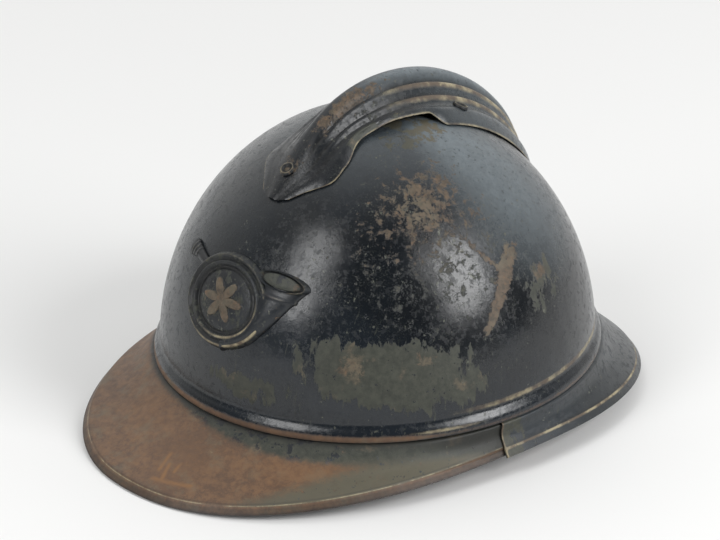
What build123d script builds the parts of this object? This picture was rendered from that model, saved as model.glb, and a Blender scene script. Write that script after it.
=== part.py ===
from build123d import *
import math
import os

# A pressed-steel infantry helmet: a bowl with a fluted crest and a horn badge, a visor and a
# neck guard crimped into the bowl's foot, a leather liner on aluminium spacers, and a chinstrap.
# X points to the wearer's left, Y to the back and Z up. The origin lies on the table, under the
# middle of the helmet's overall length. All lengths are in millimetres.

# Bowl
steel = 0.7
bowl_half_width = 104.5
bowl_half_length = 108.4
bowl_height = 117.5
foot_height = 27.0
foot_rise = 4.0
flare_height = 9.0
bead_reach = 2.9
bead_lip = 0.3
waist_reach = 1.0
waist_height = 5.6

# Brim: visor at the front, neck guard at the back
front_reach = 160.2
rear_reach = 139.8
rim_half_width = 112.7
rim_widest_back = 12.0
side_rise = 10.4
rest_flat = 0.3
rim_power = 2.13
upstand_height = 2.0
upstand_reach = 1.7
crease_reach = 3.7
crease_drop = 0.5
brim_bow = 2.2
hem_width = 3.1
hem_fall = 3.9
hem_sheet = 1.5
hem_step = 0.9
hem_round = 0.45
reach_tolerance = 0.001
seam_angle = 12.5
lap_angle = 9.0
lap_gap = 0.45
# Where the sheet is shaped: shares of the free part of the visor, from its lap to the front, each
# with the share of the lap's depth that is left there
visor_station_shares = [(0.10, 0.8), (0.22, 0.45), (0.36, 0.1), (0.52, 0), (0.68, 0), (0.84, 0), (1.0, 0)]
# Shares of the free part of the neck guard, from its lap to the back
guard_station_shares = [0.12, 0.26, 0.42, 0.60, 0.80, 1.0]

# Crest
crest_sheet = 0.7
crest_gap = 0.3
crest_start_angle = 52.4
crest_end_angle = 155.0
crest_ridge = 16.6
crest_half_width = 27.0
# Along the crest: share of the way from front tip to rear tip, share of the ridge's height,
# and share of the greatest half width
crest_station_shares = [
    (0.000, 0.06, 0.21), (0.045, 0.12, 0.48), (0.100, 0.26, 0.79), (0.155, 0.48, 0.77),
    (0.235, 0.78, 0.72), (0.330, 0.94, 0.84), (0.440, 1.00, 0.95), (0.580, 1.00, 1.00),
    (0.710, 0.93, 1.00), (0.820, 0.78, 0.93), (0.910, 0.50, 0.72), (0.965, 0.26, 0.46),
    (1.000, 0.08, 0.20)]
# Across the crest, from the ridge out to the flange's edge: share of the half width, and share
# of the ridge's height. A round ridge, a groove, a rib, a groove, a second rib, and a flat band that
# carries the side rivets and turns down to the flange's edge
crest_profile_shares = [
    (0.00, 1.00), (0.11, 0.98), (0.20, 0.88), (0.27, 0.71), (0.33, 0.72), (0.40, 0.55), (0.46, 0.45),
    (0.52, 0.45), (0.58, 0.32), (0.65, 0.29), (0.81, 0.27), (0.90, 0.16), (1.00, 0.00)]

# Crest rivets
rivet_head_radius = 3.6
rivet_head_height = 1.5
rivet_shank_radius = 1.5
rivet_play = 0.05
rivet_tail_height = 1.0
rivet_tail_radius = 2.7
crest_rivet_front_angle = 60.2
crest_rivet_rear_angle = 149.5
crest_rivet_side_angle = 110.0
crest_rivet_side_share = 0.70

# Vent slot under the crest
vent_length = 52.0
vent_width = 14.0

# Badge
badge_height_angle = 26.8
badge_gap = 0.3
badge_sheet = 0.8
ring_radius = 23.0
ring_width = 5.6
disc_radius = 15.6
disc_relief = 1.0
petal_count = 6
petal_length = 10.6
petal_width = 4.4
petal_relief = 0.8
mouth_length = 25.0
mouth_width = 8.6
mouth_across = 27.5
mouth_up = 17.8
mouth_wall = 1.1
mouth_relief = 2.6
mouth_floor = 1.4
# The horn's tube at each station: place across and up and half width and relief, as shares of the
# ring's radius, and its heading as a share of a right angle. The bell ends at the mouth
bell_station_shares = [(0.22, -0.87, 0.117, 0.117, 0.11), (0.74, -0.53, 0.13, 0.12, 0.60),
                       (1.00, -0.13, 0.21, 0.13, 0.87), (1.14, 0.33, 0.34, 0.14, 1.00)]
pipe_station_shares = [(-0.74, 0.48, 0.08, 0.08, 1.78), (-1.20, 0.62, 0.10, 0.087, 1.83),
                       (-1.55, 0.69, 0.16, 0.087, 1.87)]
lug_width = 5.0
lug_sheet = 0.8
lug_length = 8.0
lug_play = 0.3
lug_place = 20.2
lug_bend_gap = 0.45
solder_gap = 0.06

# Liner, in ellipsoids inside the bowl: each inset is taken at the foot, and the drop at the crown
liner_gap = 0.3
leather = 1.4
leather_gap = 0.1
felt = 1.9
liner_room = 5.6
liner_drop = 18.0
band_low = 3.2
band_top = 46.0
felt_top = 42.0
tongue_count = 7
tongue_gap = 9.0
crown_hole_radius = 14.5
lace_hole_radius = 2.0
lace_hole_place = 21.0

# Corrugated spacers
spacer_sheet = 0.5
spacer_low = 10.0
spacer_high = 27.0
spacer_length = 62.0
side_spacer_lift = 6.0
spacer_waves = 6

# Liner clips
clip_width = 9.0
clip_sheet = 0.6
clip_high = 24.0
clip_tail = 13.0
clip_bend = 1.2
clip_gap = 0.5
clip_turn = 47.0

# Chinstrap loops and their tabs
wire_radius = 1.2
loop_width = 23.0
loop_height = 10.5
loop_corner = 2.6
loop_back = 1.0
tab_width = 15.0
tab_sheet = 0.7
tab_high = 12.5
tab_bar_height = 3.4
wall_gap = 0.5

# Chinstrap
strap_width = 13.0
strap_sheet = 1.8
fold_sheet = 1.5
fold_width = 13.0
fold_gap = 0.25
fold_leg_gap = 0.1
fold_length = 14.4
fold_pinch = 3.5
pivot_height = 10.2
strap_gap = 0.3
strap_run = 22.0
strap_corner = 66.0
strap_stow_angle = 0.6
strap_rivet_radius = 1.6
strap_rivet_head_radius = 3.8
strap_rivet_head = 1.1
strap_rivet_play = 0.08
tail_length = 50.0
tail_start = -28.0
tail_round = 5.0
tail_gap = 0.1
buckle_place = -16.0
buckle_sheet = 0.9
buckle_bar = 2.2
buckle_length = 13.0
buckle_play = 0.4
keeper_place = 14.0
keeper_width = 7.0
keeper_sheet = 1.2
keeper_play = 0.3

# How far a cutting shape runs past what it cuts, and how much of a hug's half width its bend takes
overrun = 12.0
bend_share = 0.98

# What the sizes give
bowl_y = (front_reach - rear_reach) / 2
foot_tilt = math.degrees(math.atan2(foot_rise, bowl_half_length))
bowl_place = Location((0, bowl_y, foot_height), (foot_tilt, 0, 0))
liner_inset = steel + liner_room
leather_inset = liner_inset + felt + leather_gap
# The bowl and its liner are turned round and then drawn in to this oval
oval = (bowl_half_width / bowl_half_length, 1, 1)


def ellipsoid(inset, drop):
    """Solid ellipsoid like the bowl's outside, smaller by an inset at the foot and a drop at the crown."""
    return scale(Sphere(1), (bowl_half_width - inset, bowl_half_length - inset, bowl_height - drop))


def turn(part):
    """Stand a piece that was drawn in the bowl's own frame in its place."""
    return bowl_place * part


def bowl_layer(low, high):
    """A layer over the bowl's outside, from low to high above its surface."""
    return ellipsoid(-high, -high) - ellipsoid(-low, -low)


def bowl_spot(x, y):
    """Plane that touches the bowl's outside at x, y, with its z axis straight out."""
    z = bowl_height * math.sqrt(1 - (x / bowl_half_width) ** 2 - (y / bowl_half_length) ** 2)
    out = Vector(x / bowl_half_width ** 2, y / bowl_half_length ** 2, z / bowl_height ** 2)
    out = out.normalized()
    return Plane(origin=(x, y, z), x_dir=Vector(out.Z, 0, -out.X), z_dir=out)


def crown_spot(angle):
    """Plane on the centre line of the bowl, angle degrees up and over from the front foot."""
    return bowl_spot(0, -bowl_half_length * math.cos(math.radians(angle)))


def ellipse_reach(angle, half_x, half_y):
    """Distance from the centre of an oval to its edge, in the direction of angle."""
    return 1 / math.hypot(math.cos(angle) / half_x, math.sin(angle) / half_y)


def layer_reach(angle, height, inset, drop=0):
    """The same at a height, for the bowl's outside made smaller by an inset and a drop."""
    half = (bowl_half_length - inset) * math.sqrt(1 - (height / (bowl_height - drop)) ** 2)
    return ellipse_reach(angle, half * oval[0], half)


def upright(angle, x=0, y=0):
    """Vertical plane through the middle that looks along angle: its x runs outwards, its y up."""
    return Plane(origin=(x, y, 0), x_dir=(math.cos(angle), math.sin(angle), 0),
                 z_dir=(math.sin(angle), -math.cos(angle), 0))


def outline(*edges):
    return make_face(Wire([curve.edge() for curve in edges]))


def bowl_wall(inset):
    """The bowl's profile from foot to crown, an inset inside its outside."""
    start = math.degrees(math.asin(flare_height / bowl_height))
    return EllipticalCenterArc((0, 0), bowl_half_length - inset, bowl_height - inset, start, arc_size=90 - start)


def make_bowl():
    outer = bowl_wall(0)
    inner = bowl_wall(steel)
    waist = Vector(bowl_half_length + waist_reach, waist_height)
    outer_flare = TangentArc(outer @ 0, waist, tangent=(0, -1))
    flow = outer_flare % 1
    outer_bead = TangentArc(waist, (bowl_half_length + bead_reach, bead_lip), tangent=flow)
    inner_waist = waist + Vector(flow.Y, -flow.X) * steel
    inner_flare = TangentArc(inner @ 0, inner_waist, tangent=(0, -1))
    inner_bead = TangentArc(inner_waist, (bowl_half_length + bead_reach - steel, bead_lip), tangent=inner_flare % 1)
    face = outline(outer, outer_flare, outer_bead, Line(outer_bead @ 1, inner_bead @ 1), inner_bead, inner_flare,
                   inner, Line(inner @ 1, outer @ 1))
    bowl = revolve(Plane.XZ * face, Axis.Z)
    bowl = scale(bowl, oval)
    slot = SlotOverall(vent_length, vent_width, rotation=90)
    bowl -= Pos(0, 0, bowl_height / 2) * extrude(slot, bowl_height)
    for spot in crest_rivet_spots().values():
        bowl -= spot.location * Cylinder(rivet_shank_radius + rivet_play, overrun)
    for spot in lug_spots():
        bowl -= spot.location * Box(lug_width + 2 * lug_play, lug_sheet + 2 * lug_play, overrun)
    return bowl


def rim_reach(angle):
    """Distance from the bowl's axis to the brim's edge, in the direction of angle."""
    near = bowl_half_width / 2
    far = front_reach + rear_reach
    while far - near > reach_tolerance:
        middle = (near + far) / 2
        back = middle * math.sin(angle) - rim_widest_back
        length = rear_reach - rim_widest_back if back > 0 else front_reach + rim_widest_back
        across = abs(middle * math.cos(angle)) / rim_half_width
        if across ** rim_power + (abs(back) / length) ** rim_power < 1:
            near = middle
        else:
            far = middle
    return near


def rim_height(angle):
    """Height of the brim's edge over the table: highest at the sides, flat at both ends."""
    back = rim_reach(angle) * math.sin(angle) - rim_widest_back
    length = rear_reach - rim_widest_back if back > 0 else front_reach + rim_widest_back
    return max(0, (side_rise + rest_flat) * (1 - (back / length) ** 2) - rest_flat)


def shifted(points, distances):
    """Points of a run of sheet moved to its lower side, each by its own distance."""
    moved = []
    last = len(points) - 1
    for number, (point, distance) in enumerate(zip(points, distances)):
        into = (point - points[number - 1] if number else points[1] - point).normalized()
        out_of = (points[number + 1] - point if number < last else into).normalized()
        along = (into + out_of).normalized()
        widen = distance / along.dot(into)
        moved.append(point + Vector(along.Y, -along.X) * widen)
    return moved


def brim_section(angle, lap):
    """Closed section of the brim's sheet; lap is 1 where it runs under the other sheet."""
    upstand = ellipse_reach(angle, bowl_half_width + upstand_reach, bowl_half_length + upstand_reach)
    crease = ellipse_reach(angle, bowl_half_width + crease_reach, bowl_half_length + crease_reach)
    foot = foot_height + upstand * math.sin(angle) * math.sin(math.radians(foot_tilt))
    slope = Vector(hem_width, -hem_fall).normalized()
    edge = Vector(rim_reach(angle), rim_height(angle) + hem_sheet * slope.X)
    hem = edge - Vector(hem_width, -hem_fall)
    end = edge - slope * (hem_sheet * lap)
    start = Vector(crease, foot - crease_drop)
    chord = hem - start
    middle = (start + hem) / 2 + Vector(chord.Y, -chord.X).normalized() * brim_bow
    top = [Vector(upstand, foot + upstand_height), Vector(upstand, foot), start, middle, hem,
           hem + slope * hem_step, end]
    sheets = [steel, steel, steel, steel, steel, hem_sheet, hem_sheet]
    low = [lap * (sheet + lap_gap) for sheet in sheets]
    under = shifted(top, [depth + sheet for depth, sheet in zip(low, sheets)])
    over = shifted(top, low)
    rounded = (over[6] + under[6]) / 2 + slope * hem_round
    return upright(angle, 0, bowl_y) * outline(
        Line(over[0], over[1]), Line(over[1], over[2]), Spline(over[2], over[3], over[4]),
        Line(over[4], over[5]), Line(over[5], over[6]), ThreePointArc(over[6], rounded, under[6]),
        Line(under[6], under[5]),
        Line(under[5], under[4]), Spline(under[4], under[3], under[2]), Line(under[2], under[1]),
        Line(under[1], under[0]), Line(under[0], over[0]))


def lap_turns():
    """Angles of the stations that both sheets share where they lie on each other."""
    return [seam_angle - lap_angle, seam_angle - lap_angle / 2, seam_angle]


def make_visor():
    free = 90 - seam_angle
    stations = [(turn, 1) for turn in lap_turns()]
    stations += [(seam_angle + free * share, lap_share) for share, lap_share in visor_station_shares]
    sections = [brim_section(math.radians(-turn), lap) for turn, lap in stations]
    sections += [brim_section(math.radians(turn - 180), lap) for turn, lap in reversed(stations[:-1])]
    return loft(sections)


def make_neck_guard():
    turns = [-turn for turn in reversed(lap_turns())]
    free = 90 - turns[-1]
    turns += [turns[-1] + free * share for share in guard_station_shares]
    turns += [180 - turn for turn in reversed(turns[:-1])]
    return loft([brim_section(math.radians(turn), 0) for turn in turns])


def crest_station(share, height_share, width_share):
    """Closed section of the crest's sheet, square to the bowl's centre line."""
    spot = crown_spot(crest_start_angle + (crest_end_angle - crest_start_angle) * share)
    steep = math.hypot(spot.origin.Y / bowl_half_length ** 2, spot.origin.Z / bowl_height ** 2)
    across_radius = bowl_half_width ** 2 * steep
    inside = []
    for across_share, up_share in crest_profile_shares:
        x = crest_half_width * width_share * across_share
        sag = across_radius - math.sqrt(across_radius ** 2 - x * x)
        inside.append(Vector(x, crest_gap + crest_ridge * height_share * up_share - sag))
    inside = [Vector(-point.X, point.Y) for point in reversed(inside)] + inside[1:]
    outside = shifted(inside, [-crest_sheet] * len(inside))
    top = Polyline(*outside)
    under = Polyline(*inside)
    face = make_face(Wire(top.edges() + Line(top @ 1, under @ 1).edges() + under.edges() +
                          Line(under @ 0, top @ 0).edges()))
    return Plane(origin=spot.origin, x_dir=(1, 0, 0), z_dir=Vector(1, 0, 0).cross(spot.z_dir)) * face


def crest_rivet_spots():
    """Where the four crest rivets stand, as planes on the bowl's outside."""
    side_y = -bowl_half_length * math.cos(math.radians(crest_rivet_side_angle))
    side_x = crest_half_width * crest_rivet_side_share
    return {"front": crown_spot(crest_rivet_front_angle), "rear": crown_spot(crest_rivet_rear_angle),
            "left": bowl_spot(side_x, side_y), "right": bowl_spot(-side_x, side_y)}


def make_crest():
    crest = loft([crest_station(*shares) for shares in crest_station_shares])
    for spot in crest_rivet_spots().values():
        crest -= spot.location * Cylinder(rivet_shank_radius + rivet_play, crest_ridge + overrun)
    return crest


def dome(radius, height):
    """Low domed rivet head, a slice of a ball, flat side down on z = 0."""
    ball = (radius ** 2 + height ** 2) / (2 * height)
    return Pos(0, 0, height - ball) * Sphere(ball) & extrude(Circle(radius), height)


def make_crest_rivet(crest, spot):
    """Domed head on the crest, shank through crest and bowl, and a clenched tail inside."""
    under_head = spot.location * Cylinder(rivet_head_radius, crest_ridge + overrun)
    seat = (spot.location.inverse() * (crest & under_head)).bounding_box().max.Z
    tail = -steel - rivet_play
    shank = Pos(0, 0, tail) * extrude(Circle(rivet_shank_radius), seat + rivet_play - tail)
    head = Pos(0, 0, seat + rivet_play) * dome(rivet_head_radius, rivet_head_height)
    foot = Pos(0, 0, tail - rivet_tail_height) * extrude(Circle(rivet_tail_radius), rivet_tail_height)
    return spot.location * (head + shank + foot)


def badge_point(across, up):
    """Point of the badge's plane carried on to the bowl's curve."""
    return Vector(across, up, -(across ** 2 + up ** 2) / (bowl_half_width + bowl_half_length))


def horn_section(across, up, half_width, relief, heading_share):
    """Oval section of the horn's tube, standing square to its heading."""
    heading = math.radians(90 * heading_share)
    plane = Plane(origin=badge_point(across, up), x_dir=(math.sin(heading), -math.cos(heading), 0),
                  z_dir=(math.cos(heading), math.sin(heading), 0))
    return plane * Ellipse(half_width, relief)


def horn_sections(station_shares):
    """Sections of the tube at each station, from a table of shares."""
    return [horn_section(*[share * ring_radius for share in shares[:-1]], shares[-1])
            for shares in station_shares]


def on_badge(sketch, relief):
    """A flat outline pressed up from the badge's back to a relief over its sheet."""
    column = crown_spot(badge_height_angle).location * extrude(sketch, overrun, both=True)
    return column & bowl_layer(badge_gap, badge_gap + badge_sheet + relief)


def make_badge():
    place = crown_spot(badge_height_angle).location
    back = ellipsoid(-badge_gap, -badge_gap)
    middle_radius = ring_radius - ring_width / 2
    badge = on_badge(Circle(middle_radius), 0)
    badge += on_badge(Circle(disc_radius), disc_relief)
    petals = Sketch() + [Rot(0, 0, turn * 360 / petal_count) * Pos(petal_length / 2, 0) *
                         Ellipse(petal_length / 2, petal_width / 2) for turn in range(petal_count)]
    badge += on_badge(petals, disc_relief + petal_relief)
    ring = Pos(0, 0, badge_point(middle_radius, 0).Z) * Torus(middle_radius, ring_width / 2)
    badge += place * ring - back
    mouth_end = horn_section(mouth_across, mouth_up, mouth_length / 2 - mouth_wall, mouth_relief, 1)
    bell = loft(horn_sections(bell_station_shares) + [mouth_end])
    badge += place * bell - back
    mouth = Pos(mouth_across, mouth_up)
    badge += on_badge(mouth * Ellipse(mouth_length / 2, mouth_width / 2), mouth_relief)
    hollow = mouth * Ellipse(mouth_length / 2 - mouth_wall, mouth_width / 2 - mouth_wall)
    floor = badge_gap + badge_sheet + mouth_floor
    badge -= place * extrude(hollow, overrun, both=True) - ellipsoid(-floor, -floor)
    pipe = loft(horn_sections(pipe_station_shares))
    badge += place * pipe - back
    return badge


def lug_spots():
    """Where the badge's two lugs pass through the bowl, above and below the disc."""
    step = math.degrees(lug_place / bowl_half_length)
    return [crown_spot(badge_height_angle - step), crown_spot(badge_height_angle + step)]


def make_lug(spot, heading):
    """Strip soldered to the badge's back, passed through its slot and bent over inside."""
    inside = -steel - lug_bend_gap - lug_sheet / 2
    path = FilletPolyline((0, badge_gap - solder_gap), (0, inside), (heading * lug_length, inside), radius=lug_sheet)
    strip = extrude(trace(path, line_width=lug_sheet), lug_width / 2, both=True)
    side = Plane(origin=spot.origin, x_dir=spot.y_dir, z_dir=spot.y_dir.cross(spot.z_dir))
    return side.location * strip


def liner_ring(inset, thickness, low, high):
    """Ring of the liner between two heights, still round in plan; its inset is from the bowl's outside."""
    curves = []
    for depth in (inset, inset + thickness):
        half = bowl_half_length - depth
        top = bowl_height - liner_drop - (depth - liner_inset)
        start = math.degrees(math.asin(low / top))
        arc = math.degrees(math.asin(min(high / top, math.sqrt(1 - (crown_hole_radius / half) ** 2)))) - start
        curves.append(EllipticalCenterArc((0, 0), half, top, start, arc_size=arc))
    outer, inner = curves
    return revolve(Plane.XZ * outline(outer, Line(outer @ 1, inner @ 1), inner, Line(inner @ 0, outer @ 0)), Axis.Z)


def make_felt_band():
    return scale(liner_ring(liner_inset, felt, band_low, felt_top), oval)


def make_sweatband():
    """Leather band whose upper half is cut into tongues, each with a lace hole near its tip."""
    band = liner_ring(leather_inset, leather, band_low, bowl_height)
    slit = Pos(0, bowl_height / 2 + band_top) * Rectangle(tongue_gap, bowl_height)
    slit += Pos(0, band_top) * Circle(tongue_gap / 2)
    for number in range(tongue_count):
        angle = math.pi / 2 + 2 * math.pi * (number + 0.5) / tongue_count
        facing = Plane(origin=(0, 0, 0), x_dir=(-math.sin(angle), math.cos(angle), 0),
                       z_dir=(math.cos(angle), math.sin(angle), 0))
        band -= facing.location * extrude(slit, bowl_half_length)
        middle = math.pi / 2 + 2 * math.pi * number / tongue_count
        band -= Pos(lace_hole_place * math.cos(middle), lace_hole_place * math.sin(middle),
                    bowl_height / 2) * extrude(Circle(lace_hole_radius), bowl_height)
    return scale(band, oval)


def spacer_section(facing, height):
    """Corrugated outline of a spacer's sheet at one height, between the felt and the bowl's wall."""
    span = spacer_length / bowl_half_length
    steps = 4 * spacer_waves
    sides = []
    for side in (1, -1):
        points = []
        for step in range(steps + 1):
            angle = facing + span * (step / steps - 1 / 2)
            if step % 4 < 2:
                reach = layer_reach(angle, height, steel + liner_gap + spacer_sheet / 2)
            else:
                reach = layer_reach(angle, height, liner_inset, liner_drop) + liner_gap + spacer_sheet / 2
            reach += side * spacer_sheet / 2
            points.append(Vector(reach * math.cos(angle), reach * math.sin(angle), height))
        sides.append(points)
    return make_face(Polyline(*sides[0], *reversed(sides[1]), close=True).wire())


def make_spacer(facing, low, high):
    return loft([spacer_section(facing, height) for height in (low, (low + high) / 2, high)], ruled=True)


def make_clip(angle):
    """Strip soldered to the bowl's wall and bent under and round the liner's edge."""
    out = steel + clip_gap + clip_sheet / 2
    wall = layer_reach(angle, flare_height, out)
    under = band_low - liner_gap - clip_sheet / 2
    inside = leather_inset + leather + clip_gap + clip_sheet / 2
    path = FilletPolyline((layer_reach(angle, clip_high, out), clip_high), (wall, flare_height), (wall, under),
                          (layer_reach(angle, under, inside, liner_drop), under),
                          (layer_reach(angle, clip_tail, inside, liner_drop), clip_tail), radius=clip_bend)
    strip = extrude(trace(path, line_width=clip_sheet), clip_width / 2, both=True)
    return upright(angle).location * strip


def loop_bar():
    """Middle of the loop's upper bar, in the bowl's frame, at the wearer's left."""
    tab = layer_reach(0, tab_high, steel + wall_gap + tab_sheet)
    return Vector(tab - fold_gap - wire_radius, loop_back, tab_bar_height)


def make_loop():
    """Closed rectangle of wire, with rounded corners, hanging from its tab."""
    corners = [(0, 0), (loop_width / 2, 0), (loop_width / 2, -loop_height), (-loop_width / 2, -loop_height),
               (-loop_width / 2, 0)]
    path = Plane.YZ * FilletPolyline(*corners, radius=[0] + [loop_corner] * 4, close=True)
    wire = sweep(Plane(origin=path @ 0, z_dir=path % 0) * Circle(wire_radius), path=path.wire())
    return Pos(loop_bar()) * wire


def make_loop_tab():
    """Sheet tab on the bowl's wall, curled under and round the loop's upper bar."""
    bar = loop_bar()
    hug = wire_radius + fold_gap + tab_sheet / 2
    path = FilletPolyline((bar.X + hug, tab_high), (bar.X + hug, bar.Z - hug), (bar.X - hug, bar.Z - hug),
                          (bar.X - hug, bar.Z + wire_radius), radius=hug * bend_share)
    strip = extrude(trace(path, line_width=tab_sheet), tab_width / 2, both=True)
    return upright(0, 0, bar.Y).location * strip


def low_bar():
    """Middle of the loop's lower bar, on the table's axes."""
    bar = loop_bar() - Vector(0, 0, loop_height)
    return (bowl_place * Pos(bar)).position


def make_fold():
    """Leather folded over the loop's lower bar, both ends hanging side by side."""
    bar = low_bar()
    leg = fold_sheet / 2 + fold_leg_gap / 2
    hug = wire_radius + fold_gap + fold_sheet / 2
    right = [(leg, -fold_length), (leg, -fold_pinch), (hug, -wire_radius / 2), (hug, hug)]
    left = [(-x, z) for x, z in reversed(right)]
    bend = hug * bend_share
    path = FilletPolyline(*right, *left, radius=[fold_sheet, fold_sheet, bend, bend, fold_sheet, fold_sheet])
    strip = extrude(trace(path, line_width=fold_sheet), fold_width / 2, both=True)
    fold = Location(bar, (90, 0, 0)) * strip
    return fold - pivot() * Rot(0, 90, 0) * Cylinder(strap_rivet_radius + strap_rivet_play, overrun)


def pivot():
    """Place of the left strap rivet, on the middle of the folded leather."""
    bar = low_bar()
    return Pos(bar.X, bar.Y, pivot_height)


def strap_x():
    """How far to the left of the rivet's place the strap's middle layer lies: it is inside the fold."""
    return -fold_leg_gap / 2 - fold_sheet - strap_gap - strap_sheet / 2


def make_strap_rivet():
    """Copper rivet through the folded leather and the strap's end; its axis runs along X."""
    outer = fold_leg_gap / 2 + fold_sheet + strap_rivet_play
    inner = strap_x() - strap_sheet / 2 - strap_gap
    shank = Pos(inner, 0, 0) * Rot(0, 90, 0) * extrude(Circle(strap_rivet_radius), outer - inner)
    cap = Rot(0, 90, 0) * dome(strap_rivet_head_radius, strap_rivet_head)
    return pivot() * (shank + Pos(outer, 0, 0) * cap + Pos(inner, 0, 0) * Rot(0, 0, 180) * cap)


def stowed(part):
    """Put a piece of the chinstrap, drawn flat with its pivot at the left, in its stowed place."""
    place = pivot().position
    return Pos(0, place.Y, place.Z) * Rot(strap_stow_angle, 0, 0) * part


def make_chinstrap():
    """Leather band in a U, lying on edge, with a round eyelet end over each rivet."""
    half = pivot().position.X + strap_x()
    path = FilletPolyline((half, 0), (half, -strap_front()), (-half, -strap_front()), (-half, 0),
                          radius=strap_corner)
    strap = extrude(trace(path, line_width=strap_sheet), strap_width / 2, both=True)
    for side in (1, -1):
        end = Pos(side * half, 0, 0) * Rot(0, 90, 0)
        strap += end * Cylinder(strap_width / 2, strap_sheet)
        strap -= end * Cylinder(strap_rivet_radius + strap_rivet_play, overrun)
    return stowed(strap)


def strap_front():
    """Distance from the pivot forward to the middle of the strap's layer in its front run."""
    return strap_run + strap_corner


def make_tail():
    """Turned-back end of the strap, lying along the outside of its front run, with a round tip."""
    shape = Pos(tail_start + tail_length / 2, 0) * Rectangle(tail_length, strap_width)
    shape = fillet(shape.vertices().sort_by(Axis.X)[-2:], tail_round)
    middle = -strap_front() - strap_sheet - tail_gap
    face = Plane(origin=(0, middle, 0), x_dir=(1, 0, 0), z_dir=(0, -1, 0)) * shape
    return stowed(extrude(face, strap_sheet / 2, both=True))


def sleeve(place, length, sheet, play):
    """Flat tube round both layers of the strap's front run, its middle at x = place."""
    hole_y = 2 * strap_sheet + tail_gap + 2 * play
    hole_z = strap_width + 2 * play
    outside = RectangleRounded(hole_y + 2 * sheet, hole_z + 2 * sheet, sheet)
    ring = extrude(outside - Rectangle(hole_y, hole_z), length / 2, both=True)
    middle = -strap_front() - (strap_sheet + tail_gap) / 2
    return Plane(origin=(place, middle, 0), x_dir=(0, 1, 0), z_dir=(1, 0, 0)).location * ring


def make_buckle():
    """Slide buckle: a steel sleeve with an open face, crossed by one bar."""
    buckle = sleeve(buckle_place, buckle_length, buckle_sheet, buckle_play)
    opening = (buckle_length - 3 * buckle_bar) / 2
    front = -strap_front() - strap_sheet - tail_gap - strap_sheet / 2 - buckle_play - buckle_sheet / 2
    for side in (1, -1):
        window = Box(opening, 2 * buckle_sheet, strap_width - buckle_bar)
        buckle -= Pos(buckle_place + side * (opening + buckle_bar) / 2, front, 0) * window
    return stowed(buckle)


def make_keeper():
    return stowed(sleeve(keeper_place, keeper_width, keeper_sheet, keeper_play))


def mirrored(part):
    return mirror(part, about=Plane.YZ)


def write(parts):
    os.makedirs("parts", exist_ok=True)
    for name, part in parts.items():
        part.label = name
        export_step(part, "parts/" + name + ".step")
        print(name, len(part.solids()), round(part.volume, 1))


crest = make_crest()
parts = {"bowl": turn(make_bowl()), "front_visor": make_visor(), "neck_guard": make_neck_guard(),
         "crest": turn(crest)}
for name, spot in crest_rivet_spots().items():
    parts["crest_rivet_" + name] = turn(make_crest_rivet(crest, spot))

parts["badge"] = turn(make_badge())
lower_lug, upper_lug = lug_spots()
parts["badge_lug_lower"] = turn(make_lug(lower_lug, 1))
parts["badge_lug_upper"] = turn(make_lug(upper_lug, -1))

parts["liner_sweatband"] = turn(make_sweatband())
parts["liner_felt_band"] = turn(make_felt_band())
for name, facing in {"front": -90, "rear": 90, "left": 0, "right": 180}.items():
    lift = side_spacer_lift if name in ("left", "right") else 0
    parts["spacer_" + name] = turn(make_spacer(math.radians(facing), spacer_low + lift, spacer_high + lift))
for name, facing in {"rear_left": clip_turn, "rear_right": 180 - clip_turn,
                     "front_right": 180 + clip_turn, "front_left": -clip_turn}.items():
    parts["liner_clip_" + name] = turn(make_clip(math.radians(facing)))

loop = turn(make_loop())
tab = turn(make_loop_tab())
fold = make_fold()
strap_rivet = make_strap_rivet()
for name, piece in {"strap_loop": loop, "loop_tab": tab, "strap_end": fold, "strap_rivet": strap_rivet}.items():
    parts[name + "_left"] = piece
    parts[name + "_right"] = mirrored(piece)

parts["chinstrap"] = make_chinstrap()
parts["strap_tail"] = make_tail()
parts["strap_keeper"] = make_keeper()
parts["slide_buckle"] = make_buckle()
write(parts)
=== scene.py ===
# %% [markdown]
# # A pressed-steel helmet with a fluted crest
#
# The CAD model gives every piece its place and size: bowl, visor, neck guard, crest, badge, liner
# and chinstrap. Its solids are exact but plain, with few facets, and glossy enamel shows every facet
# in its reflections. So each large sheet of steel is worked out again here as a smooth surface, from
# the same named sizes, and then gets what decades of use did to it: chipped enamel, bare
# undercoat, rust and rubbed edges. The frame is loaded first, and nothing in it is moved.

# %% Load the CAD frame
import math
import bmesh
import bpy
import numpy as np
from mathutils import Matrix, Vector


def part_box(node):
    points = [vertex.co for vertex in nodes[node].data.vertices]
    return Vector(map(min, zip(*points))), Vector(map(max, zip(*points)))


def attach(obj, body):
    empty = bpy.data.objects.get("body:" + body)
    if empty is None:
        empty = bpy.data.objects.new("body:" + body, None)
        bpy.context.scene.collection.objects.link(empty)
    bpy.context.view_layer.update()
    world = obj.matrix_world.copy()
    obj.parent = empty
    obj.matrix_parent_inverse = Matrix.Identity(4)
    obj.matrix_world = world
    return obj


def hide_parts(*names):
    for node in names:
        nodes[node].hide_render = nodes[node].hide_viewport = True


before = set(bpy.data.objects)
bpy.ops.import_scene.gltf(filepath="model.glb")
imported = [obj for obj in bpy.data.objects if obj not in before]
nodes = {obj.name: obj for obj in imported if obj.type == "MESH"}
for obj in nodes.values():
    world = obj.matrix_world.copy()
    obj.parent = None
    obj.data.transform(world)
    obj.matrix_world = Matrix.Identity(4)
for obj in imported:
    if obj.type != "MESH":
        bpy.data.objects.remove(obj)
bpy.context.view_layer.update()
mm = 0.001

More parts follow.
